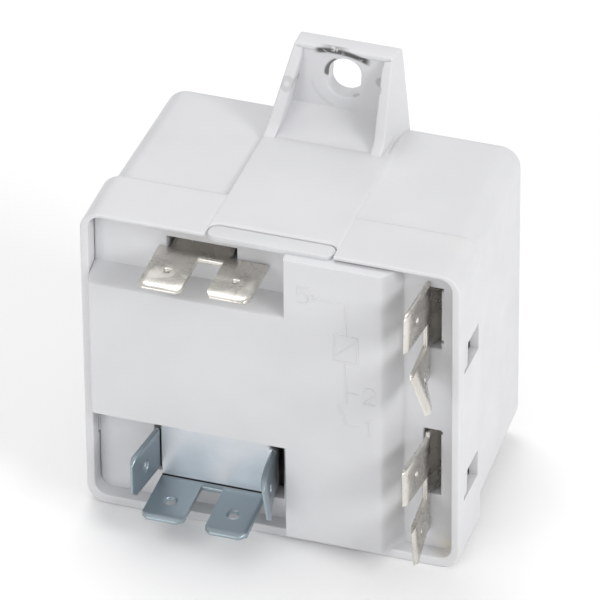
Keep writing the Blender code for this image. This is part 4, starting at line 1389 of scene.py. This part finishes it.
    def build(self) -> None:
        """Make the four terminals."""
        tin, zinc = Finishes.tinned_brass, Finishes.bright_zinc
        upper = self.side(centre=39.8, stem=(39.0, 44.0), foot_x=12.2, foot=(39.0, 44.0),
                          lean=(-1.0, 20.5), bend=(-0.65, 0.0), neck=(36.8, 46.6))
        lower = self.side(centre=13.2, stem=(12.0, 19.0), foot_x=15.2, foot=(12.0, 23.4),
                          lean=(0.5, 3.6), bend=(-0.75, 0.5), neck=(11.3, 22.0))
        for name, surface, finish, node in (
                ("coil_terminal", self.terminal_5(), tin, "terminal_5"),
                ("upper_contact_terminal", upper, tin, "terminal_2"),
                ("lower_contact_terminal", lower, tin, "terminal_1"),
                ("wiring_bracket", self.bracket(), zinc, "terminal_4")):
            make_piece(name, surface, finish, (node,), crease=50.0)


# --- inside ---


@dataclass
class Coil:
    """The winding and its tape, as turned surfaces round the coil's axis."""

    centre: tuple[float, float] = (4.4, 25.0)
    low: float = -19.1
    high: float = -2.1
    inner: float = 4.6
    outer: float = 8.6

    def turned(self, chain: Array) -> Surface:
        """Turn a closed chain of (x, radius) round the axis."""
        steps = 72
        t = np.linspace(0.0, 2.0 * math.pi, steps + 1)[:-1]
        x, r = chain[:, :1], chain[:, 1:]
        points = np.stack([np.broadcast_to(x, (len(chain), steps)),
                           self.centre[0] + r * np.cos(t), self.centre[1] + r * np.sin(t)], -1)
        points = np.concatenate([points, points[:1]])
        return Surface(points.reshape(-1, 3), grid_quads(len(chain) + 1, steps))

    def build(self) -> None:
        """The winding's face is a row of ridges: outer radius less 0.06 (1 - cos) of each turn."""
        count = 24
        x = np.linspace(self.low, self.high, count * 8 + 1)
        phase = 2 * math.pi * count * (x - self.low) / (self.high - self.low)
        face = np.stack([x, self.outer - 0.06 * (1 - np.cos(phase))], axis=1)
        chain = np.vstack([[(self.low, self.inner)], face, [(self.high, self.inner)]])
        make_piece("winding_turns", self.turned(chain), Finishes.enamelled_copper,
                   ("coil_winding",))
        lap = np.array([(-18.5, 8.9), (-18.5, 9.26), (-18.4, 9.3), (-10.0, 9.3), (-9.9, 9.24),
                        (-2.8, 9.24), (-2.7, 9.2), (-2.7, 8.9)])
        make_piece("winding_tape", self.turned(lap), Finishes.coil_tape, ("coil_wrap",))


def dress_remaining_nodes() -> None:
    """Give every CAD node that still shows the finish of its slot in the record."""
    slots = {part["node"]: part["material_slot"] for part in frame["record"]["subparts"]}
    for name, node in frame["nodes"].items():
        finish = Finishes[slots[name]].value
        if node.hide_render:
            continue
        for place in node.material_slots:
            place.material = finish.material()
        LOG.info("%s keeps its CAD shape in %s", name, finish.name)


# --- studio ---


@dataclass
class Studio:
    """A pale floor, soft boxes and the camera."""

    azimuth: float = 18.42
    elevation: float = 35.23
    roll: float = -0.56
    distance: float = 1.106
    lens: float = 459.8
    aim: tuple[float, float, float] = (-0.00292, 0.00924, 0.02565)

    def camera(self) -> None:
        """Stand the camera off along its azimuth and elevation, a little above the object."""
        a, e = math.radians(self.azimuth), math.radians(self.elevation)
        forward = Vector((-math.sin(a) * math.cos(e), math.cos(a) * math.cos(e), -math.sin(e)))
        right = Vector((math.cos(a), math.sin(a), 0.0))
        up = right.cross(forward)
        data = bpy.data.cameras.new("camera")
        data.lens, data.sensor_width = self.lens, 36.0
        data.clip_start, data.clip_end = 0.05, 50.0
        camera = new_object("camera", data)
        turn = Matrix.Rotation(math.radians(self.roll), 3, -forward)
        right, up = turn @ right, turn @ up
        camera.matrix_world = Matrix((right, up, -forward)).transposed().to_4x4()
        camera.location = Vector(self.aim) - forward * self.distance
        bpy.context.scene.camera = camera

    def soft_box(self, name: str, place: Sequence[float], size: float, power: float) -> None:
        """A square area light that faces the object."""
        data = bpy.data.lights.new(name, "AREA")
        data.shape, data.size, data.energy = "SQUARE", size, power
        light = new_object(name, data)
        light.location = place
        light.rotation_mode = "QUATERNION"
        light.rotation_quaternion = (Vector(place) - Vector((0, 0, 0.03))).to_track_quat("Z", "Y")

    def build(self) -> None:
        """Floor, world, lights and view."""
        bpy.context.scene.view_settings.view_transform = "Standard"
        mesh = bpy.data.meshes.new("floor")
        half = 4.0
        corners = [(-half, -half, 0), (half, -half, 0), (half, half, 0), (-half, half, 0)]
        mesh.from_pydata(corners, [], [(0, 1, 2, 3)])
        floor = new_object("floor", mesh)
        g = Graph("pale floor")
        mesh.materials.append(g.finish(Base_Color=(0.95, 0.95, 0.95), Roughness=0.7))
        world = bpy.data.worlds.new("studio")
        world.use_nodes = True
        tree = world.node_tree
        background = tree.nodes["Background"]
        place = tree.nodes.new("ShaderNodeTexCoord")
        parts = tree.nodes.new("ShaderNodeSeparateXYZ")
        ramp = tree.nodes.new("ShaderNodeMapRange")
        tree.links.new(place.outputs["Generated"], parts.inputs[0])
        tree.links.new(parts.outputs["Z"], ramp.inputs[0])
        heights, strengths = (-0.1, 0.75), (0.28, 0.8)
        for number, value in enumerate(heights + strengths, 1):
            ramp.inputs[number].default_value = value
        background.inputs["Color"].default_value = (1.0, 1.0, 1.0, 1.0)
        tree.links.new(ramp.outputs[0], background.inputs["Strength"])
        bpy.context.scene.world = world
        self.soft_box("key", (0.75, -0.3, 0.45), 0.3, 3.3)
        self.soft_box("top", (-0.15, 0.25, 0.75), 0.3, 1.3)
        self.soft_box("fill", (-0.35, -0.75, 0.3), 0.4, 1.5)


def main() -> None:
    """Build the studio and the relay, in order."""
    logging.basicConfig(level=logging.INFO, format="%(name)s: %(message)s")
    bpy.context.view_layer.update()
    studio = Studio()
    studio.camera()
    CaseShell().build()
    TerminalBase().build()
    Terminals().build()
    Coil().build()
    dress_remaining_nodes()
    studio.build()


if __name__ == "__main__":
    main()
